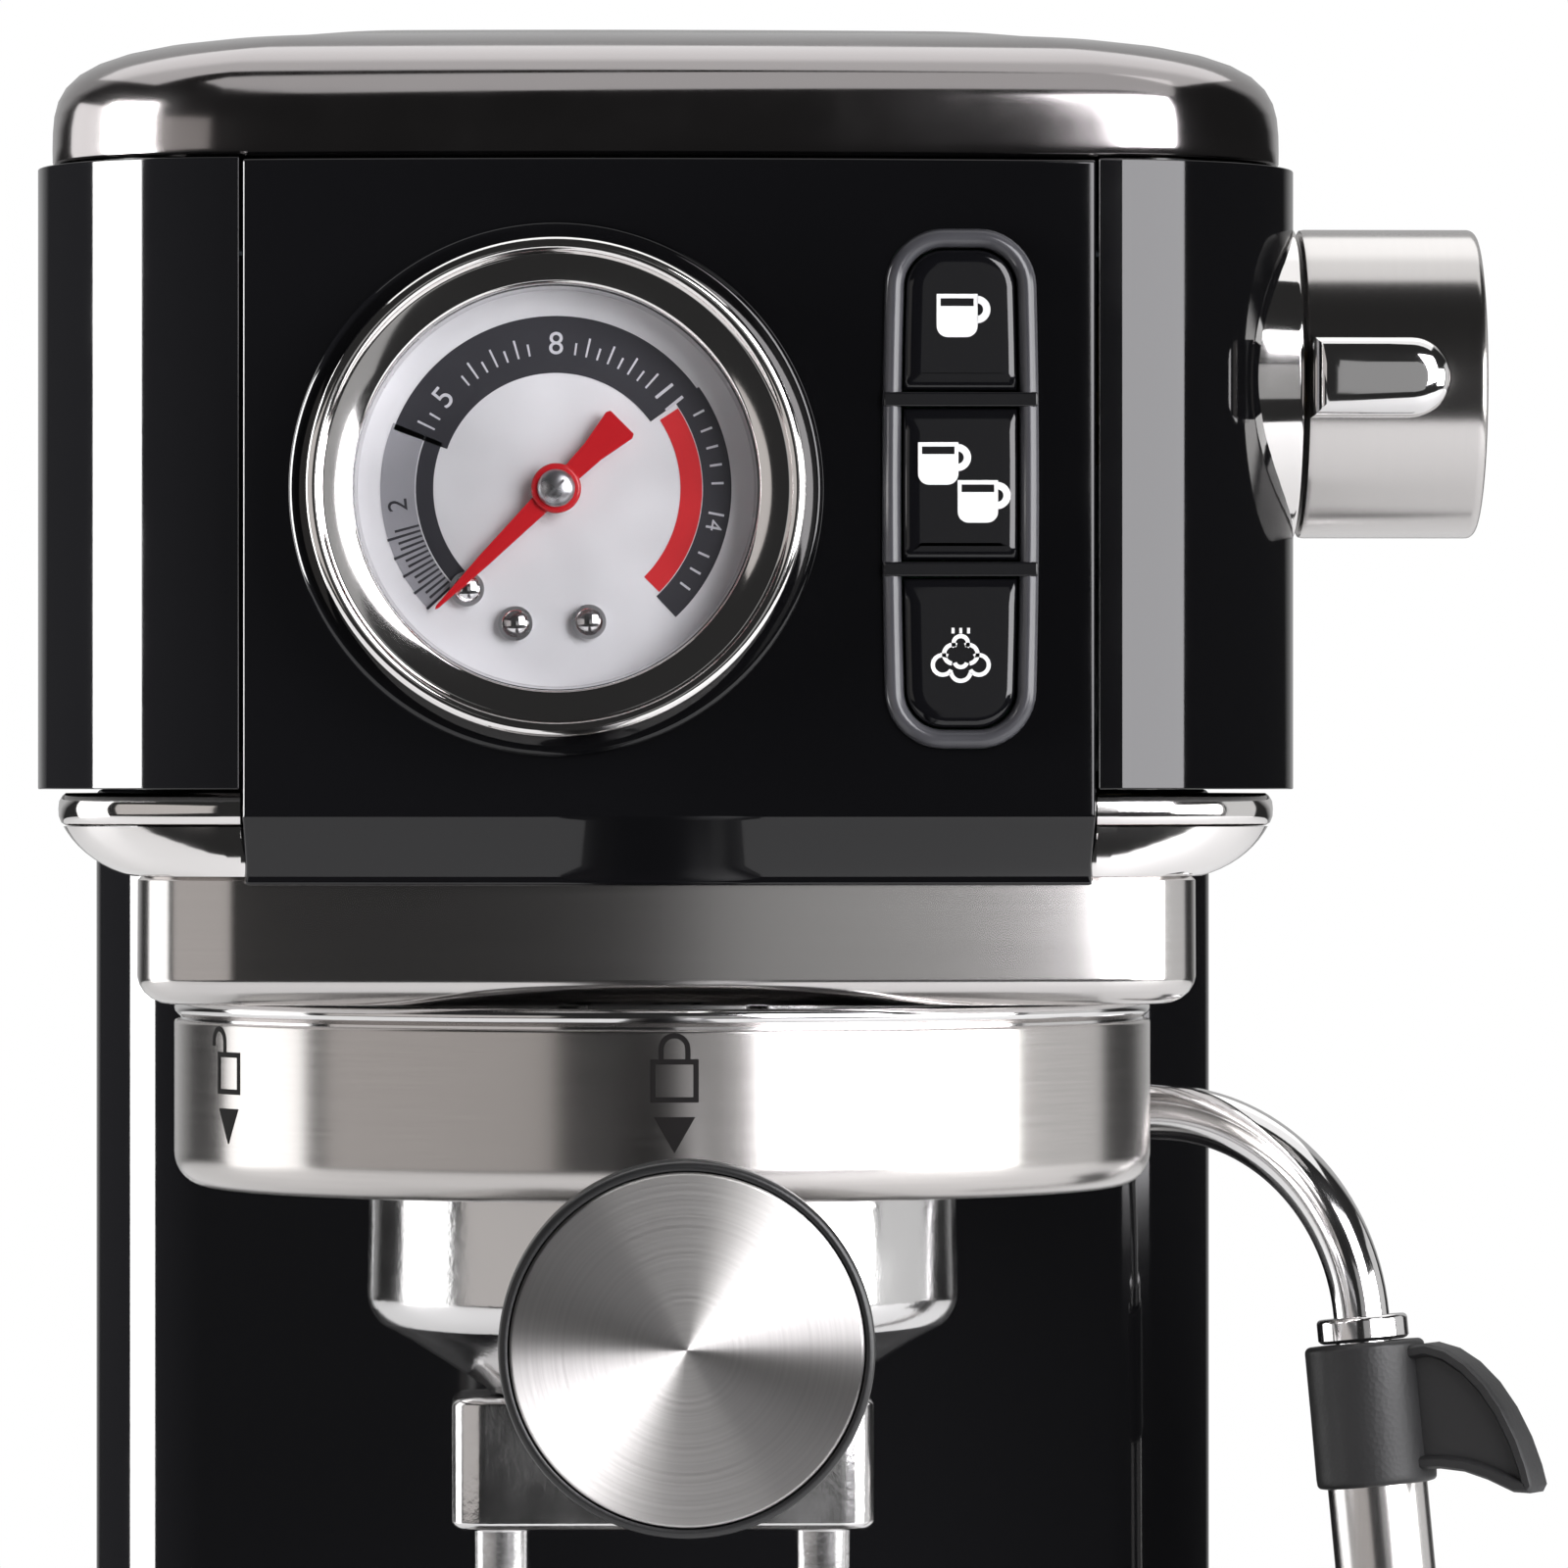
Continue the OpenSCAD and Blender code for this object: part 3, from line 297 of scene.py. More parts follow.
def piece(name, bm, mat, body, slot, bevel=0.0, segments=3, limit=38, replaces=(), weighted=True, sharp=38):
    """Turns a bmesh in millimetres into a finished piece that rides on a body.

    Edges that turn by more than limit degrees get the bevel. Those over sharp degrees are shaded hard.
    """
    bmesh.ops.remove_doubles(bm, verts=bm.verts, dist=1e-4)
    bmesh.ops.dissolve_degenerate(bm, edges=bm.edges, dist=1e-4)
    bmesh.ops.recalc_face_normals(bm, faces=bm.faces)
    if bevel:
        edges = [e for e in bm.edges if len(e.link_faces) == 2 and e.calc_face_angle(0) > radians(limit)]
        bmesh.ops.bevel(bm, geom=edges, offset=bevel, segments=segments, profile=0.5, affect="EDGES",
                        clamp_overlap=True)
    for f in bm.faces:
        f.smooth = True
    for e in bm.edges:
        e.smooth = not (len(e.link_faces) == 2 and e.calc_face_angle(0) > radians(sharp))
    bmesh.ops.scale(bm, vec=(MM,) * 3, verts=bm.verts)
    me = bpy.data.meshes.new(name)
    bm.to_mesh(me)
    bm.free()
    me.materials.append(mat)
    o = add(name, me)
    if weighted:
        w = o.modifiers.new("normals", "WEIGHTED_NORMAL")
        w.keep_sharp = True
    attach(o, body)
    if replaces:
        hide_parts(*replaces)
    return o


def loft(bm, rings, closed=True, caps=True):
    """Skins a list of rings of points. closed joins each ring's end to its start."""
    rows = [[bm.verts.new(p) for p in ring] for ring in rings]
    n = len(rows[0])
    for a, b in zip(rows, rows[1:]):
        for k in range(n if closed else n - 1):
            bm.faces.new((a[k], a[(k + 1) % n], b[(k + 1) % n], b[k]))
    if caps:
        bm.faces.new(rows[0][::-1])
        bm.faces.new(rows[-1])


def turn(bm, profile, place, segments=128):
    """Lathe: (radius, height) points turned round the local Z of the matrix place."""
    rows = []
    for r, h in profile:
        if r < 1e-6:
            rows.append([bm.verts.new(place @ Vector((0, 0, h)))])
        else:
            rows.append([bm.verts.new(place @ Vector((r * cos(t), r * sin(t), h)))
                         for t in (2 * pi * k / segments for k in range(segments))])
    for a, b in zip(rows, rows[1:]):
        for k in range(segments):
            j = (k + 1) % segments
            if len(a) == 1:
                bm.faces.new((a[0], b[j], b[k]))
            elif len(b) == 1:
                bm.faces.new((a[k], a[j], b[0]))
            else:
                bm.faces.new((a[k], a[j], b[j], b[k]))


def turned(name, profile, place, segments, mat, body, slot, **more):
    """A piece that is one profile turned on the lathe."""
    bm = bmesh.new()
    turn(bm, profile, place, segments)
    return piece(name, bm, mat, body, slot, **more)


def arc(cx, cy, r, a0, a1, n=8):
    """Points on a circle from angle a0 to a1, in degrees."""
    return [(cx + r * cos(radians(a0 + (a1 - a0) * k / n)),
             cy + r * sin(radians(a0 + (a1 - a0) * k / n))) for k in range(n + 1)]


def box(x0, y0, x1, y1):
    return [(x0, y0), (x1, y0), (x1, y1), (x0, y1)]


def dome(r, base, height, degrees):
    """Profile of a flattened dome that stands on a rim at the height base."""
    return [(r * cos(radians(d)), base + height * sin(radians(d))) for d in degrees]


def facing(x, y, z):
    """Frame at a point whose local Z looks to the front and whose local Y is up."""
    return Matrix.Translation((x, y, z)) @ Matrix.Rotation(radians(90), 4, "X")


def half_front(h, yf, r, big, inset, back, x0=0.0):
    """Right half of a bulged front outline, from x0 round the corner to the back.

    h is half the width, yf the front, r the corner's radius and big the bulge's. inset moves it all inwards.
    """
    steps = 16
    cx = h - r
    cy = yf + big - sqrt((big - r) ** 2 - cx * cx)
    phi = asin(cx / (big - r))
    start = asin(x0 / (big - inset))
    pts = []
    for k in range(steps + 1):
        a = start + (phi - start) * k / steps
        pts.append(((big - inset) * sin(a), yf + big - (big - inset) * cos(a)))
    rr = r - inset
    for k in range(1, steps + 1):
        a = phi + (pi / 2 - phi) * k / steps
        pts.append((cx + rr * sin(a), cy - rr * cos(a)))
    pts.append((h - inset, back))
    return pts


def closed_front(h, yf, r, big, inset, back):
    """The whole outline, both halves, with a straight back."""
    right = half_front(h, yf, r, big, inset, back)
    return [(-x, y) for x, y in right[::-1]] + right[1:]


def sweep(bm, path, radius, segments=32):
    """Round tube along a path of points."""
    rows = []
    up = None
    for k, p in enumerate(path):
        a = path[max(k - 1, 0)]
        b = path[min(k + 1, len(path) - 1)]
        t = (b - a).normalized()
        if up is None:
            up = t.orthogonal().normalized()
        up = (up - t * up.dot(t)).normalized()
        side = t.cross(up)
        rows.append([p + (up * cos(q) + side * sin(q)) * radius
                     for q in (2 * pi * j / segments for j in range(segments))])
    loft(bm, rows)


def plate(bm, outline, place, low, high):
    """Flat shape of (x, y) points, pushed from local height low to high."""
    loft(bm, [[place @ Vector((x, y, h)) for x, y in outline] for h in (low, high)])


# -------------------------------------------------------------- the shells


def both_sides(name, make, mat, slot, **more):
    """The same piece on the left and on the right, as one mesh."""
    bm = bmesh.new()
    make(bm, 1)
    make(bm, -1)
    piece(name, bm, mat, "machine", slot, **more)


HEAD = dict(h=HW, yf=Y_FRONT, r=25.0, big=BULGE)


def head_wall(bm, side):
    """Upright wall of the head, from beside the front panel to the back."""
    outer, inner = (half_front(inset=i, back=Y_REAR - 0.2, x0=PANEL_HW + 0.35, **HEAD) for i in (0, 2.5))
    z0, z1 = Z_HEAD, Z_SEAM - 0.15
    loft(bm, [[(side * a[0], a[1], z0), (side * a[0], a[1], z1),
               (side * b[0], b[1], z1), (side * b[0], b[1], z0)] for a, b in zip(outer, inner)])


both_sides("head_walls", head_wall, BLACK, "black_gloss", bevel=0.55, segments=4, replaces=("head_shell",))

# Front panel: upright face, raked lower band and a thin lip under it
levels = [(Z_SEAM - 0.35, 0.0), (212.2, 0.0), (206.6, 3.1), (204.3, 3.3)]
xs = [-PANEL_HW + 2 * PANEL_HW * k / 44 for k in range(45)]
SQUEEZE_PER_MM = 0.0022


def bulge_y(x, inset):
    return Y_FRONT + BULGE - sqrt((BULGE - inset) ** 2 - x * x)


rows = []
for z, inset in levels:
    squeeze = 1 - inset * SQUEEZE_PER_MM
    rows.append([(x * squeeze, bulge_y(x * squeeze, inset), z) for x in xs])
for z, inset in levels[::-1]:
    rows.append([(x * 0.999, bulge_y(x, max(3.0, inset + 1.4)), z) for x in xs])
bm = bmesh.new()
loft(bm, [[r[k] for r in rows] for k in range(len(xs))])
panel = piece("front_panel_face", bm, PANEL, "machine", "black_gloss", bevel=0.4, limit=25,
              replaces=("front_panel",))


def cut(target, bm):
    """Takes a closed shape, in millimetres, out of a piece."""
    bmesh.ops.recalc_face_normals(bm, faces=bm.faces)
    bmesh.ops.scale(bm, vec=(MM,) * 3, verts=bm.verts)
    me = bpy.data.meshes.new("cutter")
    bm.to_mesh(me)
    bm.free()
    tool = add("cutter", me)
    mod = target.modifiers.new("cut", "BOOLEAN")
    mod.operation, mod.object, mod.solver = "DIFFERENCE", tool, "EXACT"
    target.modifiers.move(len(target.modifiers) - 1, 0)
    saved = [m for m in target.modifiers if m != mod]
    for m in saved:
        m.show_viewport = False
    dg = bpy.context.evaluated_depsgraph_get()
    fresh = bpy.data.meshes.new_from_object(target.evaluated_get(dg))
    target.modifiers.remove(mod)
    old = target.data
    target.data = fresh
    for m in target.modifiers:
        m.show_viewport = True
    bpy.data.meshes.remove(old)
    bpy.data.objects.remove(tool)


GAUGE = facing(GAUGE_X, Y_FRONT, Z_GAUGE)
KEY_HOLE = facing(BUTTON_X, Y_FRONT, Z_GAUGE + 0.1)


def capsule(w, h, r, barrel=0.0, n=10):
    """Rounded upright outline whose long sides swell by barrel."""
    pts = []
    for sx, sy, a0 in ((1, 1, 0), (-1, 1, 90), (-1, -1, 180), (1, -1, 270)):
        for x, y in arc(sx * (w / 2 - r), sy * (h / 2 - r), r, a0, a0 + 90, n):
            pts.append((x, y))
    out = []
    for k, (x, y) in enumerate(pts):
        out.append((x, y))
        x2, y2 = pts[(k + 1) % len(pts)]
        if abs(x - x2) < 1e-6 and abs(y - y2) > h / 4:
            steps = 14
            out += [(x, y + (y2 - y) * j / steps) for j in range(1, steps)]
    grown = []
    for x, y in out:
        t = y / (h / 2)
        grown.append((x + copysign(barrel * (1 - t * t), x), y))
    return grown


hole = bmesh.new()
turn(hole, [(0, -25), (25.3, -25), (25.3, 8), (0, 8)], GAUGE, 96)
cut(panel, hole)
hole = bmesh.new()
plate(hole, capsule(17.3, 60.4, 6.7, 0.55), KEY_HOLE, -12, 8)
cut(panel, hole)

# Flat seat round the gauge, standing a hair proud of the bulged panel
turned("gauge_seat", [(25.35, -3.2), (30.2, -3.2), (30.2, -2.6)] + arc(30.2, 0.0, 0.8, -10, 90, 5)
       + [(28.9, 0.5), (28.7, 0.5), (25.35, 0.5), (25.35, -3.2)], GAUGE, 160, PANEL, "machine", "black_gloss")

# Top cover: a broad soft shoulder over a bulged outline, with a rounded lower edge
SHOULDER, FULLNESS, EDGE_T = 72.8, 4.3, 0.03
COVER_Z0, COVER_H = Z_SEAM + 0.15, Z_TOP - Z_SEAM + 0.45
bm = bmesh.new()
rings = []
for t in (0.0, EDGE_T, 0.12, 0.24, 0.36, 0.47, 0.57, 0.66, 0.74, 0.81, 0.87, 0.92, 0.955, 0.975):
    ins = SHOULDER * (1 - (1 - t ** FULLNESS) ** (1 / FULLNESS)) if t > EDGE_T else 0.5 - t * 16
    z = COVER_Z0 + COVER_H * (t if t < 0.97 else 1.0)
    pts = closed_front(h=HW - 1.7 - ins, yf=Y_FRONT + 1.7 + ins * 0.85, r=max(23.5 - ins * 0.35, 9.0),
                       big=BULGE, inset=0, back=Y_REAR - ins * 0.22)
    rings.append([(x, y, z) for x, y in pts])
loft(bm, rings)
cover = piece("cover_shell", bm, GUNMETAL, "machine", "gunmetal_gloss", replaces=("top_cover",), sharp=50)
hole_y0, hole_y1 = Y_FRONT + 32, Y_REAR - 14
hole = bmesh.new()
plate(hole, capsule(82, hole_y1 - hole_y0, 10), Matrix.Translation((0, (hole_y0 + hole_y1) / 2, 0)),
      Z_TOP - 1.2, Z_TOP + 3)
cut(cover, hole)

# Bright band under the head, at the corners and sides: (inset, height) of its section
BAND = [(0.9, 0.0), (0.35, 0.35), (0.05, 1.1), (0.0, 2.0), (0.1, 2.9), (0.5, 3.55), (0.9, 3.85)]
BAND_IN = 2.4


def band(bm, side):
    ends = dict(back=Y_COL - 0.3, x0=PANEL_HW + 0.3)
    stations = [half_front(inset=BAND_IN + i, **ends, **HEAD) for i, _ in BAND]
    inner = half_front(inset=BAND_IN + 2.6, **ends, **HEAD)
    cuts = []
    for k, (x, y) in enumerate(inner):
        sec = [(side * st[k][0], st[k][1], Z_TRIM + dz) for st, (_, dz) in zip(stations, BAND)]
        cuts.append(sec + [(side * x, y, Z_TRIM + 3.85), (side * x, y, Z_TRIM)])
    loft(bm, cuts)


both_sides("bright_band", band, CHROME, "chrome_trim", replaces=("trim_band",))

# Bright underside: sweeps in from the band to the neck
NECK = dict(h=HW - 12.0, yf=Y_FRONT + 5.0, r=14.0, big=BULGE)
CURVED = 0.55


def sweep_in(bm, side):
    """The sweep's section is part quarter circle, by the share CURVED, and part straight line."""
    steps = 9
    high = Z_TRIM - 0.1
    top = half_front(inset=3.0, back=Y_COL - 0.3, x0=PANEL_HW + 0.3, **HEAD)
    low = half_front(inset=-0.7, back=Y_COL - 0.3, x0=PANEL_HW - 1.5, **NECK)
    low[0] = (PANEL_HW + 0.2, low[0][1])
    cuts = []
    for (xt, yt), (xl, yl) in zip(top, low):
        sec = []
        for k in range(steps + 1):
            a = pi / 2 * k / steps
            straight = (1 - CURVED) * (k / steps)
            drop = CURVED * sin(a) ** 1.1 + straight
            reach = CURVED * (1 - cos(a)) + straight
            sec.append((side * (xt + (xl - xt) * reach), yt + (yl - yt) * reach,
                        high - (high - Z_FLOOR) * drop))
        cuts.append(sec + [(side * (xl - 2.0), yl + 2.0, Z_FLOOR + 0.1), (side * (xt - 4.0), yt + 3.0, high)])
    loft(bm, cuts)


both_sides("underside_sweep", sweep_in, CHROME, "chrome_trim", replaces=("head_underside",))

# Neck: bulged chrome collar with a rolled lower edge and a floor round the group
bm = bmesh.new()
rings = []
for z, i in [(Z_FLOOR - 0.05, 0.5), (Z_FLOOR - 0.5, 0.05), (Z_NECK + 3.4, 0.0), (Z_NECK + 2.5, 0.25),
             (Z_NECK + 1.6, 0.8), (Z_NECK + 0.85, 1.7), (Z_NECK + 0.35, 2.8), (Z_NECK + 0.2, 3.9)]:
    rings.append([(x, y, z) for x, y in closed_front(inset=i, back=Y_COL - 0.3 - i * 0.3, **NECK)])
group_hole = []
for x, y, _ in rings[-1]:
    d = Vector((x, y - Y_GROUP)).normalized() * 46.6
    group_hole.append((d.x, d.y + Y_GROUP, Z_NECK + 0.2))
rings.append(group_hole)
loft(bm, rings, caps=False)
piece("neck_shell", bm, NECK_STEEL, "machine", "chrome_trim", replaces=("neck_collar",), sharp=30)

# ---------------------------------------------------------------- group

AXIS = Matrix.Translation((0, Y_GROUP, 0))
bead = [(-2.4, -2.4), (-2.4, -0.4), (-1.9, -0.05)] + arc(-0.95, -0.95, 0.95, 110, -60, 8)
bead += [(-0.8, -2.1), (-0.8, -2.4), (-2.4, -2.4)]
turned("ring_bead", [(RING_R + r, Z_NECK + z) for r, z in bead], AXIS, 192, STEEL, "machine",
       "polished_steel")
turned("ring_skirt", [(BOWL_R + 4.8, Z_RING), (RING_R - 4.2, Z_RING)]
       + arc(RING_R - 4.2, Z_RING + 4.2, 4.2, -84, 0, 12)
       + [(RING_R, Z_RING + 10), (RING_R, Z_RING + 16), (RING_R, Z_NECK - 2.9)]
       + arc(RING_R - 0.4, Z_NECK - 2.8, 0.4, 10, 80, 3)
       + [(RING_R - 1.4, Z_NECK - 2.4), (RING_R - 1.4, Z_RING + 4.4)]
       + arc(RING_R - 4.2, Z_RING + 4.2, 2.8, 0, -84, 8)
       + [(BOWL_R + 4.8, Z_RING + 1.3), (BOWL_R + 4.8, Z_RING)],
       AXIS, 192, RING, "machine", "brushed_ring", replaces=("group_ring",), sharp=50)

# The marks on the ring: how far they go in and stand out, and the longest straight step
MARK_IN, MARK_OUT, MARK_STEP = 0.2, 0.07, 0.8


def wrapped(bm, outline, middle):
    """Thin mark of (across, up) points laid on the ring, centred at an angle from the front."""
    def at(u, v, r):
        a = radians(-90 + middle) + u / RING_R
        return (r * cos(a), Y_GROUP + r * sin(a), v)
    dense = []
    for k, (u, v) in enumerate(outline):
        u2, v2 = outline[(k + 1) % len(outline)]
        steps = max(1, int(abs(u2 - u) / MARK_STEP))
        dense += [(u + (u2 - u) * j / steps, v + (v2 - v) * j / steps) for j in range(steps)]
    low = [bm.verts.new(at(u, v, RING_R - MARK_IN)) for u, v in dense]
    top = [bm.verts.new(at(u, v, RING_R + MARK_OUT)) for u, v in dense]
    n = len(dense)
    for k in range(n):
        bm.faces.new((low[k], low[(k + 1) % n], top[(k + 1) % n], top[k]))
    bmesh.ops.triangulate(bm, faces=[bm.faces.new(top), bm.faces.new(low[::-1])])


def padlock(bm, middle, z, opened):
    """Outline padlock over a small solid triangle that points down."""
    w, h, t = 5.0, 4.4, 0.62
    body = box(-w / 2, z, w / 2, z + h)
    for a, b in zip(body, body[1:] + body[:1]):
        d = Vector((b[0] - a[0], b[1] - a[1])).normalized() * (t / 2)
        nrm = Vector((-d.y, d.x))
        wrapped(bm, [(a[0] - d.x + nrm.x, a[1] - d.y + nrm.y), (a[0] - d.x - nrm.x, a[1] - d.y - nrm.y),
                     (b[0] + d.x - nrm.x, b[1] + d.y - nrm.y), (b[0] + d.x + nrm.x, b[1] + d.y + nrm.y)],
                middle)
    shift = -2.5 if opened else 0.0
    top = z + h + 1.5
    r = 1.55
    bow = [(cos(radians(a)), sin(radians(a))) for a in range(0, 181, 18)]
    for (c0, s0), (c1, s1) in zip(bow, bow[1:]):
        wrapped(bm, [(shift + q * c, top + q * v) for c, v, q in
                     ((c0, s0, r - t / 2), (c0, s0, r + t / 2), (c1, s1, r + t / 2), (c1, s1, r - t / 2))],
                middle)
    for s in (-1, 1):
        u = shift + s * r
        low = top - 0.5 if opened and s < 0 else z + h
        wrapped(bm, box(u - t / 2, low, u + t / 2, top), middle)
    wrapped(bm, [(-2.4, z - 2.0), (0, z - 6.2), (2.4, z - 2.0)], middle)


bm = bmesh.new()
padlock(bm, 0.5, Z_RING + 12.2, False)
padlock(bm, -61.0, Z_RING + 12.2, True)
piece("lock_marks", bm, MARK, "machine", "brushed_ring", weighted=False)

# ------------------------------------------------------------ portafilter

z0 = Z_RIM - 26.7
turned("bowl_shell", [(5.2, z0 - 4), (5.2, z0 - 8.7), (5.6, z0 - 9.0), (20.4, z0 - 9.0)]
       + arc(20.2, z0 - 7.2, 1.8, -80, -30, 4) + [(BOWL_R - 5.6, z0 - 2.6)]
       + arc(BOWL_R - 5.2, z0 + 3.4, 5.2, -50, 0, 8)
       + [(BOWL_R - 0.2, z0 + 12), (BOWL_R - 0.2, Z_RIM - 0.9)]
       + arc(BOWL_R - 0.8, Z_RIM - 0.8, 0.6, 0, 90, 4)
       + [(28.0, Z_RIM), (27.4, Z_RIM - 0.4), (27.4, Z_RIM - 4.2), (28.3, Z_RIM - 4.6), (28.3, Z_RIM - 5.6),
          (27.4, Z_RIM - 6), (27.4, z0 + 2.4), (5.2, z0 - 4)],
       AXIS, 160, CAST, "portafilter", "cast_bowl", replaces=("portafilter_bowl",), sharp=42)
HANDLE = facing(0, Y_GROUP, Z_HANDLE)
turned("bowl_neck", [(0, 29), (12.4, 29), (12.2, 35.2)] + arc(13.6, 39.6, 4.4, 225, 178, 6)
       + [(9.15, 46), (9.0, 52.6)] + arc(8.6, 52.7, 0.4, 0, 90, 3) + [(0, 53.1)],
       HANDLE, 96, CAST, "portafilter", "cast_bowl")
bm = bmesh.new()
LUG_SPAN, LUG_STEPS = 26, 12
for k in range(3):
    secs = []
    for j in range(LUG_STEPS + 1):
        a = radians(30 + 120 * k - LUG_SPAN / 2 + LUG_SPAN * j / LUG_STEPS)
        secs.append([(r * cos(a), Y_GROUP + r * sin(a), z)
                     for r, z in box(BOWL_R - 1, Z_RIM - 4.6, BOWL_R + 4, Z_RIM - 0.6)])
    loft(bm, secs)
piece("bowl_lugs", bm, CAST, "portafilter", "cast_bowl", bevel=0.4, segments=2)

# Spout: a block with two round nozzles
bm = bmesh.new()
s0, s1 = Z_RIM - 52, Z_RIM - 35.85
rings = []
for dz, g in ((0, 1.1), (0.3, 0.45), (1.0, 0.0), (15.1, 0.0), (15.8, 0.45), (s1 - s0, 1.1)):
    rings.append([(x, Y_GROUP + y, s0 + dz) for x, y in capsule(51.4 - 2 * g, 19 - 2 * g, 4.2 - g, 0.0, 8)])
loft(bm, rings)
for sx in (-1, 1):
    turn(bm, [(0, 0.6), (3.6, 0.6), (3.6, -0.2), (3.35, -0.6), (3.3, -7.2), (3.1, -7.8), (2.4, -8.0),
              (2.2, -7.6), (2.2, -2), (0, -1.4)], Matrix.Translation((sx * 19.6, Y_GROUP, s0)), 48)
piece("spout_body", bm, CAST, "portafilter", "cast_bowl", replaces=("twin_spout",), sharp=40)

turned("ferrule", [(4.2, 53.2), (8.6, 53.2)] + arc(8.7, 53.7, 0.5, -90, 0, 3) + [(9.35, 59.2)]
       + arc(9.0, 60.2, 0.5, 0, 90, 3) + [(4.2, 60.7), (4.2, 53.2)],
       HANDLE, 96, STEEL, "portafilter", "polished_steel", replaces=("handle_ferrule",))
# Grip: swells from its neck to the disc along a smooth step
GRIP_R0, GRIP_Z0, GRIP_STEPS = 9.8, 62.2, 24
grip = [(4.2, 60.9), (8.8, 60.9), (9.5, 61.3), (GRIP_R0, GRIP_Z0)]
for k in range(1, GRIP_STEPS + 1):
    t = k / GRIP_STEPS
    grip.append((GRIP_R0 + (HANDLE_R + 0.2 - GRIP_R0) * (3 * t * t - 2 * t ** 3),
                 GRIP_Z0 + (HANDLE_LEN - 3.4 - GRIP_Z0) * t))
grip += arc(HANDLE_R - 0.5, HANDLE_LEN - 0.7, 0.7, 5, 90, 6)
grip += [(HANDLE_R - 0.75, HANDLE_LEN - 0.1), (HANDLE_R - 0.85, HANDLE_LEN - 1.7), (4.2, HANDLE_LEN - 1.7),
         (4.2, 60.9)]
turned("grip_body", grip, HANDLE, 144, GRIP, "portafilter", "grip_black", replaces=("handle_grip",), sharp=45)
turned("grip_disc", [(0, HANDLE_LEN - 1.5), (HANDLE_R - 0.95, HANDLE_LEN - 1.5),
                     (HANDLE_R - 0.95, HANDLE_LEN - 0.35)]
       + arc(HANDLE_R - 1.3, HANDLE_LEN - 0.35, 0.35, 0, 90, 3)
       + [(r, HANDLE_LEN) for r in (14, 10, 6, 3, 1, 0)],
       HANDLE, 144, DISC, "portafilter", "brushed_disc", replaces=("handle_cap",))

# ---------------------------------------------------------------- gauge

turned("bezel_ring", [(25.2, 0.75), (28.2, 0.75), (28.7, 1.3), (28.8, 4.0), (28.8, 8.2)]
       + arc(27.85, 8.2, 0.95, 0, 140, 12)
       + [(26.98, 8.4), (26.85, 8.12), (26.6, 8.14), (25.2, 7.82), (23.8, 7.5), (23.5, 7.3), (23.4, 7.0),
          (23.4, 5.2), (24.2, 4.9), (25.1, 1.4), (25.2, 0.75)],
       GAUGE, 192, BEZEL, "machine", "bezel_chrome", replaces=("gauge_bezel",), sharp=50)
turned("dial_wall_ring", [(24.0, 4.8), (23.25, 4.7), (22.9, 2.4), (23.0, 0.85), (23.6, 0.85), (24.1, 4.0),
                          (24.0, 4.8)],
       GAUGE, 160, DIAL_WALL, "machine", "gauge_steel")

# The dial's face, and the two heights above it of bands and of ticks
FACE = 0.8
BAND_Z = (FACE - 0.05, FACE + 0.06)
TICK_Z = (FACE + 0.04, FACE + 0.1)


def sector(bm, r0, r1, a0, a1, low=BAND_Z[0], high=BAND_Z[1]):
    """Flat ring sector on the dial, in degrees counter-clockwise from the right."""
    inner = arc(0, 0, r0, a0, a1, max(2, int(abs(a1 - a0) / 2)))
    outer = [(x * r1 / r0, y * r1 / r0) for x, y in inner]
    loft(bm, [[GAUGE @ Vector(v) for v in ((*p, high), (*q, high), (*q, low), (*p, low))]
              for p, q in zip(inner, outer)])


bm = bmesh.new()
sector(bm, 13.4, 20.0, 160, 35.4)
sector(bm, 17.0, 20.3, 35.6, -47)
sector(bm, 14.2, 16.2, 158, 222)
for k in range(14):
    a = 223 - 28 * k / 13
    sector(bm, 16.4, 20.4 if k % 3 == 0 else 19.3, a + 0.45, a - 0.45, FACE + 0.02, TICK_Z[1])
piece("dial_bands", bm, INK, "machine", "dial_white", weighted=False)
bm = bmesh.new()
sector(bm, 16.35, 20.3, 158, 223)
piece("dial_low_band", bm, INK_GREY, "machine", "dial_white", weighted=False)
bm = bmesh.new()
sector(bm, 14.4, 16.9, 33.5, -45)
piece("dial_red_arc", bm, INK_RED, "machine", "needle_red", weighted=False)


def digits(name, items, mat):
    """Numbers on the dial: (text, angle, radius, height), upright on both halves."""
    bm = bmesh.new()
    for text, angle, radius, size in items:
        c = bpy.data.curves.new("figure", "FONT")
        c.body, c.size, c.align_x, c.align_y = text, size, "CENTER", "CENTER"
        c.extrude = 0.03
        o = add("figure", c)
        dg = bpy.context.evaluated_depsgraph_get()
        me = bpy.data.meshes.new_from_object(o.evaluated_get(dg))
        t = radians(angle)
        upright = Matrix.Rotation(t + (pi / 2 if sin(t) < -0.3 else -pi / 2), 4, "Z")
        at = Matrix.Translation((radius * cos(t), radius * sin(t), FACE + 0.09))
        me.transform(GAUGE @ at @ upright)
        bm.from_mesh(me)
        bpy.data.objects.remove(o)
        bpy.data.meshes.remove(me)
    piece(name, bm, mat, "machine", "dial_white", weighted=False)


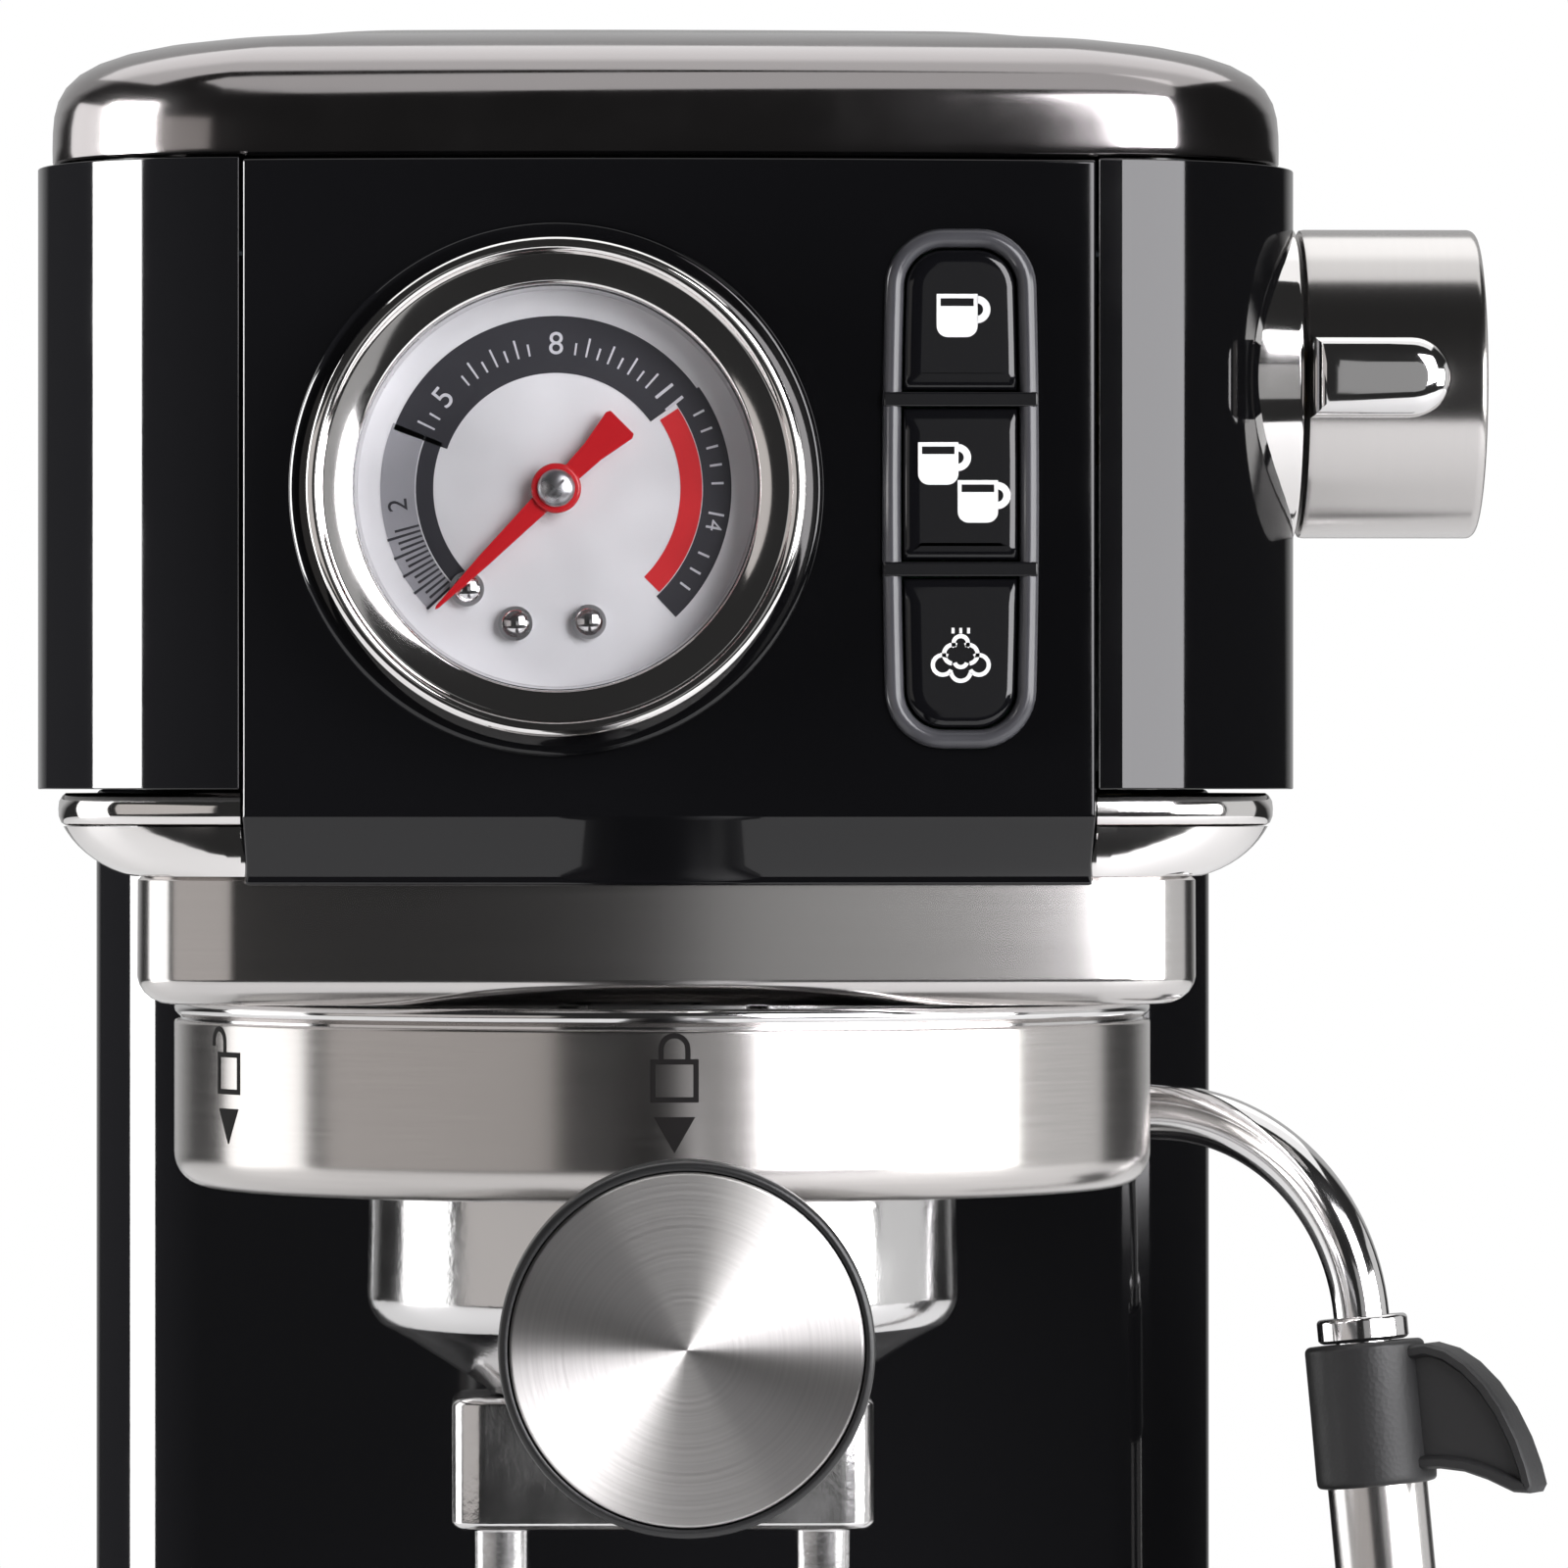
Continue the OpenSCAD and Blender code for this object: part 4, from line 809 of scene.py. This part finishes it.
bm = bmesh.new()
for k in range(25):
    a = 154 - 4.8 * k
    if min(abs(a - n) for n in (141, 90, 39)) > 7:
        sector(bm, 15.6, 17.8 if k % 2 == 0 else 17.0, a + 0.4, a - 0.4, *TICK_Z)
for k in range(11):
    a = 28 - 6.5 * k
    if abs(a + 11) > 8:
        sector(bm, 18.0, 19.4, a + 0.4, a - 0.4, *TICK_Z)
piece("dial_pale_ticks", bm, INK_PALE, "machine", "dial_white", weighted=False)
digits("dial_pale_numbers",
       [("5", 141, 16.7, 3.7), ("8", 90, 16.7, 3.7), ("11", 39, 16.7, 3.7), ("14", -11, 18.65, 2.7)],
       INK_PALE)
digits("dial_dark_number", [("2", 186, 18.3, 3.2)], INK)

bm = bmesh.new()
for x, y in ((-4.7, -15.6), (3.8, -15.4), (-10.3, -11.6)):
    turn(bm, [(0, 0.7), (2.0, 0.7), (2.0, 1.0)] + dome(2.0, 1.0, 1.5, (12, 25, 40, 55, 70, 82)) + [(0, 2.5)],
         GAUGE @ Matrix.Translation((x, y, 0)), 48)
piece("dial_pins", bm, STEEL, "machine", "gauge_steel")

NEEDLE_AT = GAUGE @ Matrix.Rotation(radians(225), 4, "Z")
bm = bmesh.new()
tail = [(0, 0.95), (-6.0, 1.35), (-10.3, 2.15), (-10.8, 1.9), (-10.8, -1.9), (-10.3, -2.15), (-6.0, -1.35),
        (0, -0.95)]
tip = [(0, -1.3), (12, -0.75), (19.4, -0.2), (19.8, 0), (19.4, 0.2), (12, 0.75), (0, 1.3)]
plate(bm, tail[::-1], NEEDLE_AT, 2.25, 2.85)
plate(bm, tip, NEEDLE_AT, 2.2, 2.9)
turn(bm, [(0, 1.7), (2.8, 1.7)] + arc(2.5, 3.1, 0.4, 0, 90, 4) + [(2.0, 3.5), (0, 3.5)], NEEDLE_AT, 64)
piece("needle_blade", bm, NEEDLE, "needle", "needle_red", bevel=0.08, segments=2, replaces=("gauge_needle",))
bm = bmesh.new()
turn(bm, [(0, 3.4), (2.2, 3.4), (2.2, 3.7)] + dome(2.2, 3.7, 0.9, (20, 40, 60, 78)) + [(0, 4.6)],
     NEEDLE_AT, 48)
plate(bm, box(-1.3, 0.16, 1.3, -0.16), NEEDLE_AT, 4.3, 4.68)
piece("needle_cap", bm, ZINC, "needle", "gauge_steel")
turned("needle_shaft", [(0, -7.4), (0.9, -7.4), (0.9, 2.0), (0, 2.0)], NEEDLE_AT, 24, STEEL, "needle",
       "gauge_steel")

# -------------------------------------------------------------------- keys

# Width and height of the rim, and the heights where one key ends and the next begins
FW, FH = 17.2, 60.3
B_TOP, B_LOW = FH / 2, -FH / 2
SPLIT_A, SPLIT_B = B_TOP - 19.8, B_LOW + 20.8
bm = bmesh.new()
rings = []
for g, d in [(0.0, -3.9), (0.0, 0.3), (0.35, 0.95), (1.0, 1.25), (1.55, 1.1), (2.0, 0.55), (2.2, 0.0),
             (2.2, -3.9)]:
    rings.append([KEY_HOLE @ Vector((x, y, d - 1.0))
                  for x, y in capsule(FW - 2 * g, FH - 2 * g, 6.6 - g, 0.5)])
rings.append(rings[0])
loft(bm, rings, caps=False)
piece("key_rim", bm, RIM, "machine", "rim_grey", replaces=("button_frame",), sharp=60)


def shrunk(points, g):
    """Outline moved in by g."""
    res = []
    n = len(points)
    for k in range(n):
        a, p, b = Vector(points[k - 1]), Vector(points[k]), Vector(points[(k + 1) % n])
        e1, e2 = (p - a).normalized(), (b - p).normalized()
        n1, n2 = Vector((-e1.y, e1.x)), Vector((-e2.y, e2.x))
        m = (n1 + n2).normalized()
        res.append(tuple(p + m * (g / max(m.dot(n1), 0.5))))
    return res


def clipped(points, lo, hi):
    """The part of a closed outline between two heights."""
    for limit, sign in ((lo, 1), (hi, -1)):
        kept = []
        for k, (x, y) in enumerate(points):
            x2, y2 = points[(k + 1) % len(points)]
            d, d2 = sign * (y - limit), sign * (y2 - limit)
            if d >= 0:
                kept.append((x, y))
            if d * d2 < 0:
                kept.append((x + (x2 - x) * d / (d - d2), limit))
        points = kept
    return points


# Dark bars that part the keys and cross the rim
bm = bmesh.new()
for z in (SPLIT_A, SPLIT_B):
    plate(bm, box(-8.95, z - 0.85, 8.95, z + 0.85), KEY_HOLE, -3.8, 0.32)
piece("key_bars", bm, KEYS, "machine", "black_gloss", bevel=0.25)


def key_cap(name, lo, hi, body, cad):
    """Gloss cap that fills the rim between two heights, softly crowned."""
    base = clipped(capsule(FW - 4.9, FH - 4.9, 4.3, 0.5, 12), lo + 1.05, hi - 1.05)
    bm = bmesh.new()
    loft(bm, [[KEY_HOLE @ Vector((x, y, d)) for x, y in shrunk(base, g)]
              for g, d in ((0, -5.0), (0, -1.0), (0.1, -0.62), (0.4, -0.38), (1.0, -0.25), (2.0, -0.2))])
    piece(name, bm, KEYS, body, "black_gloss", replaces=(cad,), sharp=60)


key_cap("key_one_cup", SPLIT_A, B_TOP + 9, "one_cup_key", "one_cup_button")
key_cap("key_two_cup", SPLIT_B, SPLIT_A, "two_cup_key", "two_cup_button")
key_cap("key_steam", B_LOW - 9, SPLIT_B, "steam_key", "steam_button")

# Depths of the pictograms, and the width the cup is drawn at
ICON_LOW, ICON_HIGH = -0.2, -0.04
CUP_W = 6.5


def cup(bm, x, y, w):
    """Side view of a cup: rim over a dark slot, filled bowl, round handle."""
    at = KEY_HOLE @ Matrix.Translation((x, y, 0)) @ Matrix.Scale(w / CUP_W, 4)
    deep = (ICON_LOW * CUP_W / w, ICON_HIGH * CUP_W / w)
    right, left, top, waist, line = 1.75, -3.0, 2.5, 1.1, 0.5
    plate(bm, box(left, top - line, right, top), at, *deep)
    for x0 in (left, right - 0.45):
        plate(bm, box(x0, waist, x0 + 0.45, top - line), at, *deep)
    plate(bm, [(left, waist), (left, -waist)] + arc(left + 1.3, -1.2, 1.3, 190, 270, 6)
          + arc(right - 1.3, -1.2, 1.3, 270, 350, 6) + [(right, -waist), (right, waist)], at, *deep)
    plate(bm, arc(right - 0.1, 0.7, 1.6, 88, -88, 12) + arc(right - 0.1, 0.7, 0.75, -88, 88, 8), at, *deep)


def marks(name, make, body):
    bm = bmesh.new()
    make(bm)
    piece(name, bm, INK_WHITE, body, "dial_white", weighted=False)


marks("mark_one_cup", lambda bm: cup(bm, 0.2, (SPLIT_A + B_TOP) / 2 - 0.2, 6.5), "one_cup_key")
marks("mark_two_cup", lambda bm: (cup(bm, -2.0, 2.9, 6.4), cup(bm, 2.6, -1.5, 6.4)), "two_cup_key")


def puff(bm):
    """Little cloud of steam: open arcs (centre, radius, angles) in a heap, with three dashes over it."""
    at = KEY_HOLE @ Matrix.Translation((0, (SPLIT_B + B_LOW) / 2 + 0.2, 0))
    half, dash = 0.24, 0.17
    heap = ((-2.1, -0.9, 1.15, 60, 330), (2.1, -0.9, 1.15, 210, 480), (0, -1.6, 1.15, 190, 350),
            (-0.85, 0.35, 1.1, 70, 260), (0.85, 0.35, 1.1, -80, 110), (0, 1.6, 0.85, -30, 210),
            (0, -0.4, 0.75, 200, 340))
    for cx, cy, r, a0, a1 in heap:
        plate(bm, arc(cx, cy, r + half, a0, a1, 14) + arc(cx, cy, r - half, a1, a0, 14), at,
              ICON_LOW, ICON_HIGH)
    for x in (-0.9, 0.0, 0.9):
        plate(bm, box(x - dash, 2.75, x + dash, 3.4), at, ICON_LOW, ICON_HIGH)


marks("mark_steam", puff, "steam_key")

# -------------------------------------------------------------- steam knob

SIDE = Matrix.Translation((0, Y_KNOB, Z_KNOB)) @ Matrix.Rotation(radians(90), 4, "Y")
k0, k1 = HW + 0.7, HW + 22.0
turned("knob_body", [(4.1, k0), (KNOB_R - 0.7, k0), (KNOB_R - 0.1, k0 + 0.3), (KNOB_R, k0 + 0.9),
                     (KNOB_R, k0 + 8), (KNOB_R, k1 - 1.3)] + arc(KNOB_R - 1.1, k1 - 1.1, 1.1, 0, 80, 6)
       + [(KNOB_R - 1.6, k1 - 0.02), (KNOB_R - 1.9, k1 - 0.35), (KNOB_R - 2.2, k1 - 0.35),
          (4.1, k1 - 0.35), (4.1, k0)],
       SIDE, 160, KNOB, "steam_control", "brushed_disc", replaces=("steam_knob",), sharp=35)
turned("knob_face", [(0, k1 - 0.5), (KNOB_R - 2.25, k1 - 0.5), (KNOB_R - 2.25, k1 - 0.25)]
       + [(r, k1 - 0.2) for r in (15, 11, 7, 3.5, 1, 0)], SIDE, 160, KNOB_FACE, "steam_control",
       "brushed_disc")
collar = turned("knob_bezel", [(5, HW - 9), (19.3, HW - 9), (18.9, HW - 4), (18.5, HW - 0.3)]
                + arc(18.1, HW - 0.1, 0.4, 10, 90, 4) + [(17.5, HW + 0.3), (5, HW + 0.3), (5, HW - 9)],
                SIDE, 160, CHROME, "machine", "chrome_trim", replaces=("knob_collar",), sharp=50)
inside = bmesh.new()
pts = closed_front(inset=0.05, back=Y_REAR, **HEAD)
loft(inside, [[(x, y, z) for x, y in pts] for z in (Z_KNOB - 40, Z_KNOB + 40)])
cut(collar, inside)

# Bright bar along the front of the knob, round at its free end
bm = bmesh.new()
r, x0, x1 = 4.7, k0 + 0.3, HW + 17.2
y_in, y_out = Y_KNOB - KNOB_R + 3.5, Y_KNOB - KNOB_R - 6.0
profile = [(x0, -r), (x1 - r, -r)] + arc(x1 - r, 0, r, -80, 80, 18) + [(x1 - r, r), (x0, r)]
rings = []
for depth, g in ((0.0, 0.0), (0.72, 0.0), (0.82, 0.25), (0.9, 0.75), (0.96, 1.5), (0.99, 2.4), (1.0, 3.4)):
    y = y_in + (y_out - y_in) * depth
    ring = []
    for x, z in profile:
        k = (r - g) / r
        past = max(x - (x1 - r), 0) * k
        ring.append((min(max(x, x0 + g), x1 - r) + past, y, Z_KNOB + z * k))
    rings.append(ring)
loft(bm, rings)
piece("knob_bar", bm, STEEL, "steam_control", "polished_steel", replaces=("knob_lever",), sharp=50)

# ------------------------------------------------------------------- wand

TURN = Matrix.Translation(WAND) @ Matrix.Rotation(radians(-30), 4, "Z")
BEND_A, BEND_B, RUN, SWEEP = 10.0, 27.7, 3.9, 84.0
Z_RUN = Z_BALL - 7.0 - BEND_A


def wand_point(x, z):
    return TURN @ Vector((x, 0, z))


path = [wand_point(0, Z_BALL - 3), wand_point(0, Z_BALL - 6)]
path += [wand_point(BEND_A - BEND_A * cos(a), Z_RUN + BEND_A - BEND_A * sin(a))
         for a in (radians(90 * k / 16) for k in range(17))]
path += [wand_point(BEND_A + RUN + BEND_B * sin(a), Z_RUN - BEND_B + BEND_B * cos(a))
         for a in (radians(SWEEP * k / 30) for k in range(31))]
end = path[-1]
lean = radians(SWEEP)
down = (TURN.to_3x3() @ Vector((cos(lean), 0, -sin(lean)))).normalized()
out = (TURN.to_3x3() @ Vector((sin(lean), 0, cos(lean)))).normalized()
across = down.cross(out).normalized()
# Local frame at the end of the bend: X outwards, Y across, Z down along the pipe
WEND = Matrix([(out[k], across[k], down[k], end[k]) for k in range(3)] + [(0, 0, 0, 1)])
path.append(end + down * 22)
BALL_R = 6.2
bm = bmesh.new()
sweep(bm, path, 3.5, 40)
ball = [(BALL_R * sin(radians(d)), BALL_R * cos(radians(d))) for d in range(10, 171, 10)]
turn(bm, [(0, BALL_R)] + ball + [(0, -BALL_R)], Matrix.Translation((WAND.x, WAND.y, Z_BALL)), 48)
piece("steam_tube", bm, STEEL, "wand", "polished_steel", replaces=("wand_pipe",))
turned("tube_collar", [(3.55, 0.3), (5.0, 0.3)] + arc(5.1, 0.9, 0.6, -80, 0, 4)
       + [(5.7, 3.0), (5.4, 3.3), (5.0, 3.45), (3.55, 3.45), (3.55, 0.3)],
       WEND, 64, STEEL, "wand", "polished_steel", replaces=("wand_collar",))
bm = bmesh.new()
turn(bm, [(3.6, 3.6), (6.6, 3.6)] + arc(6.7, 4.4, 0.8, -80, 0, 4) + [(7.5, 12), (7.55, 20.2)]
     + arc(6.9, 20.8, 0.6, 0, 80, 4) + [(6.45, 21.5), (6.45, 14.0), (3.6, 14.0), (3.6, 3.6)], WEND, 72)
# Thumb tab: a fin with a thick rim and a sunken web
fin = [(5.0, 4.6), (9.4, 4.3), (12.2, 5.3), (14.8, 7.2), (17.2, 9.9), (19.2, 13.2), (20.8, 17.0),
       (21.8, 20.6), (22.2, 23.0), (21.6, 23.9), (19.4, 23.6), (16.0, 21.8), (13.0, 20.6), (9.8, 20.0),
       (5.0, 19.8)]
web = shrunk(fin, 1.7)
FIN_HALF, WEB_HALF = 2.0, 1.3
for sgn in (-1, 1):
    rows = [fin, shrunk(fin, 0.35), shrunk(fin, 1.2), shrunk(fin, 1.55), web]
    heights = [FIN_HALF, 2.55, 2.55, 2.2, WEB_HALF]
    loft(bm, [[WEND @ Vector((x, sgn * h, z)) for x, z in row] for row, h in zip(rows, heights)], caps=False)
    face = bm.faces.new([bm.verts.new(WEND @ Vector((x, sgn * WEB_HALF, z))) for x, z in web])
    bmesh.ops.triangulate(bm, faces=[face])
loft(bm, [[WEND @ Vector((x, h, z)) for x, z in fin] for h in (-FIN_HALF, FIN_HALF)], caps=False)
piece("wand_handle", bm, RUBBER, "wand", "rubber_black", replaces=("wand_grip",), sharp=40)
turned("steam_sleeve", [(5.3, 14.3), (6.2, 14.3), (6.25, 15), (6.25, 79.6)] + arc(5.85, 81.2, 0.4, 0, 70, 3)
       + [(5.6, 82.1), (5.3, 82.1), (5.3, 14.3)], WEND, 72, SLEEVE, "sleeve", "satin_steel",
       replaces=("froth_sleeve",))

# ------------------------------------------------- CAD parts that stay as they are


def dress(names, mat, bevel=0.0, segments=3):
    """Gives carried-over CAD parts a material, soft edges and smooth shading."""
    for name in names.split():
        o = nodes[name]
        if not o.data.materials:
            o.data.materials.append(mat)
        for s in o.material_slots:
            s.material = mat
        if bevel:
            w = o.modifiers.new("weld", "WELD")
            w.merge_threshold = 1e-6
            d = o.modifiers.new("flat", "DECIMATE")
            d.decimate_type, d.angle_limit = "DISSOLVE", radians(0.4)
            b = o.modifiers.new("edges", "BEVEL")
            b.width, b.segments, b.limit_method, b.angle_limit = bevel * MM, segments, "ANGLE", radians(35)
            n = o.modifiers.new("normals", "WEIGHTED_NORMAL")
            n.keep_sharp = True
            for p in o.data.polygons:
                p.use_smooth = True


dress("column_cover base_housing drip_tray", BLACK, 0.8)
dress("base_plate", MATTE, 0.5)
dress("rear_wall tank_lid power_switch", MATTE, 0.5)
dress("cup_plate drip_grid", SATIN, 0.25, 2)
dress("rubber_feet", RUBBER, 0.5)
dress("housing_screws shower_screw", ZINC, 0.2, 2)
dress("tray_float", RED_PART, 0.6)
dress("water_tank", TANK, 0.6)

# Level marks on the back of the tank: a line with long ticks at its ends and short ones between
bm = bmesh.new()
REAR = Matrix.Rotation(pi, 4, "Z") @ facing(52, -149, 0)
for k in range(7):
    z, w = 60 + 32 * k, 9.0 if k in (0, 6) else 5.0
    plate(bm, box(-w, z - 0.4, 0, z + 0.4), REAR, -0.2, 0.12)
plate(bm, box(0, 59.6, 0.8, 252.4), REAR, -0.2, 0.12)
piece("tank_level_marks", bm, INK_WHITE, "tank", "tank_clear", weighted=False)

dress("wand_socket", CHROME, 0.3)
dress("wand_seat", NYLON)
dress("wand_tip handle_rod", STEEL)
dress("filter_basket shower_screen basket_spring", plated("basket_steel", (0.72, 0.71, 0.7), 0.14))
dress("brew_head", plated("group_casting", (0.5, 0.5, 0.5), 0.3, 0.3, 120.0), 0.4)
dress("group_gasket", RUBBER)
dress("chassis", plated("chassis_steel", (0.55, 0.55, 0.56), 0.3, 0.2))
dress("boiler", ALLOY)
dress("pump", moulded("pump_body", (0.12, 0.12, 0.13), 0.4))
dress("valve_stem steam_valve", BRASS)
dress("steam_pipes", COPPER)
dress("gauge_case gauge_posts", ZINC)
dress("gauge_dial", DIAL)
dress("gauge_lens", WINDOW)
dress("button_board control_board", BOARD)

# ------------------------------------------------------------------ studio

floor_bm = bmesh.new()
bmesh.ops.create_circle(floor_bm, cap_ends=True, segments=96, radius=0.95)
floor_mesh = bpy.data.meshes.new("floor")
floor_bm.to_mesh(floor_mesh)
floor_bm.free()
floor = add("floor", floor_mesh)
floor.location = (0, 0.38, -0.0005)
m, b = material("pale_floor", (0.5, 0.5, 0.505), 0.55, Emission_Color=(1, 1, 1, 1), Emission_Strength=0.45)
sheen(m, b, noise(m, coords(m), 3.0), 0.5, 0.6)
floor_mesh.materials.append(m)


def softbox(name, at, aim, width, height, power, tint=(1, 1, 1), only="", but=""):
    """Large soft light at a point in metres, turned towards another.

    It reaches only the parts named in only, or all except those named in but.
    """
    data = bpy.data.lights.new(name, "AREA")
    data.shape, data.size, data.size_y, data.energy, data.color = "RECTANGLE", width, height, power, tint
    o = add(name, data)
    o.location = at
    o.rotation_mode = "QUATERNION"
    o.rotation_quaternion = (Vector(aim) - Vector(at)).to_track_quat("-Z", "Y")
    o.visible_camera = False
    if only or but:
        group = bpy.data.collections.new(name + "_parts")
        for part in (only or but).split():
            group.objects.link(bpy.data.objects[part])
        for entry in group.collection_objects:
            entry.light_linking.link_state = "INCLUDE" if only else "EXCLUDE"
        o.light_linking.receiver_collection = group


# The black body, which mirrors the light boxes as the white stripes seen on it
BLACKS = "head_walls front_panel_face gauge_seat column_cover base_housing drip_tray"
HEART = (0, -0.08, 0.25)
HIGH_HEART = (0, -0.08, 0.3)
LOW_HEART = (0, -0.08, 0.2)
GRIP_END = (0, -0.25, 0.13)
softbox("right_box", (0.70, -0.98, 0.56), HIGH_HEART, 0.7, 0.92, 17, (0.98, 0.97, 1.0), but="knob_body")
softbox("overhead", (0, 0.35, 1.15), (0, 0.35, 0), 1.6, 1.2, 6.5)
softbox("left_box", (-0.815, -0.30, 0.32), HIGH_HEART, 0.48, 0.66, 27, only=BLACKS + " cover_shell")
softbox("left_card", (-0.78, -0.62, 0.25), LOW_HEART, 1.1, 0.5, 0.9, (1.0, 0.95, 0.92),
        but=BLACKS + " grip_disc")
softbox("left_strip", (-0.72, 0.14, 0.25), LOW_HEART, 0.42, 0.6, 1.5, but=BLACKS + " grip_disc")
softbox("right_card", (1.04, -0.44, 0.25), HEART, 0.69, 0.5, 7, but=BLACKS + " cover_shell grip_disc")
softbox("front_card", (0.25, -1.25, 0.25), HEART, 0.42, 0.5, 0.2, but=BLACKS + " cover_shell knob_body")
softbox("right_strip", (0.86, 0.2, 0.25), LOW_HEART, 0.5, 0.6, 0.6, but=BLACKS + " cover_shell")
softbox("lid_card", (0.2, -0.58, 1.12), (0, -0.1, 0.3), 1.3, 0.6, 2.2, only="cover_shell")
softbox("disc_key", (0.36, -1.0, 0.46), GRIP_END, 0.42, 0.52, 3.2, only="grip_disc")
softbox("disc_card", (-0.05, -0.85, 0.75), GRIP_END, 0.6, 0.3, 1.1, only="grip_disc")

# White for the camera. What the parts see is dim, and bright high up behind them
world = bpy.data.worlds.new("studio")
bpy.context.scene.world = world
world.use_nodes = True
tree = world.node_tree
tree.nodes.clear()
out_w = tree.nodes.new("ShaderNodeOutputWorld")
mix_w = tree.nodes.new("ShaderNodeMixShader")
seen = tree.nodes.new("ShaderNodeBackground")
seen.inputs["Color"].default_value = (1, 1, 1, 1)
around = tree.nodes.new("ShaderNodeBackground")
path_w = tree.nodes.new("ShaderNodeLightPath")
way = tree.nodes.new("ShaderNodeTexCoord")
dot = tree.nodes.new("ShaderNodeVectorMath")
dot.operation = "DOT_PRODUCT"
dot.inputs[1].default_value = (0, 0.85, 0.53)
ramp = tree.nodes.new("ShaderNodeMapRange")
for key, v in (("From Min", 0.68), ("From Max", 0.80), ("To Min", 0.03), ("To Max", 0.6)):
    ramp.inputs[key].default_value = v
tree.links.new(way.outputs["Generated"], dot.inputs[0])
tree.links.new(dot.outputs["Value"], ramp.inputs["Value"])
tree.links.new(ramp.outputs["Result"], around.inputs["Strength"])
tree.links.new(path_w.outputs["Is Camera Ray"], mix_w.inputs[0])
tree.links.new(around.outputs[0], mix_w.inputs[1])
tree.links.new(seen.outputs[0], mix_w.inputs[2])
tree.links.new(mix_w.outputs[0], out_w.inputs["Surface"])
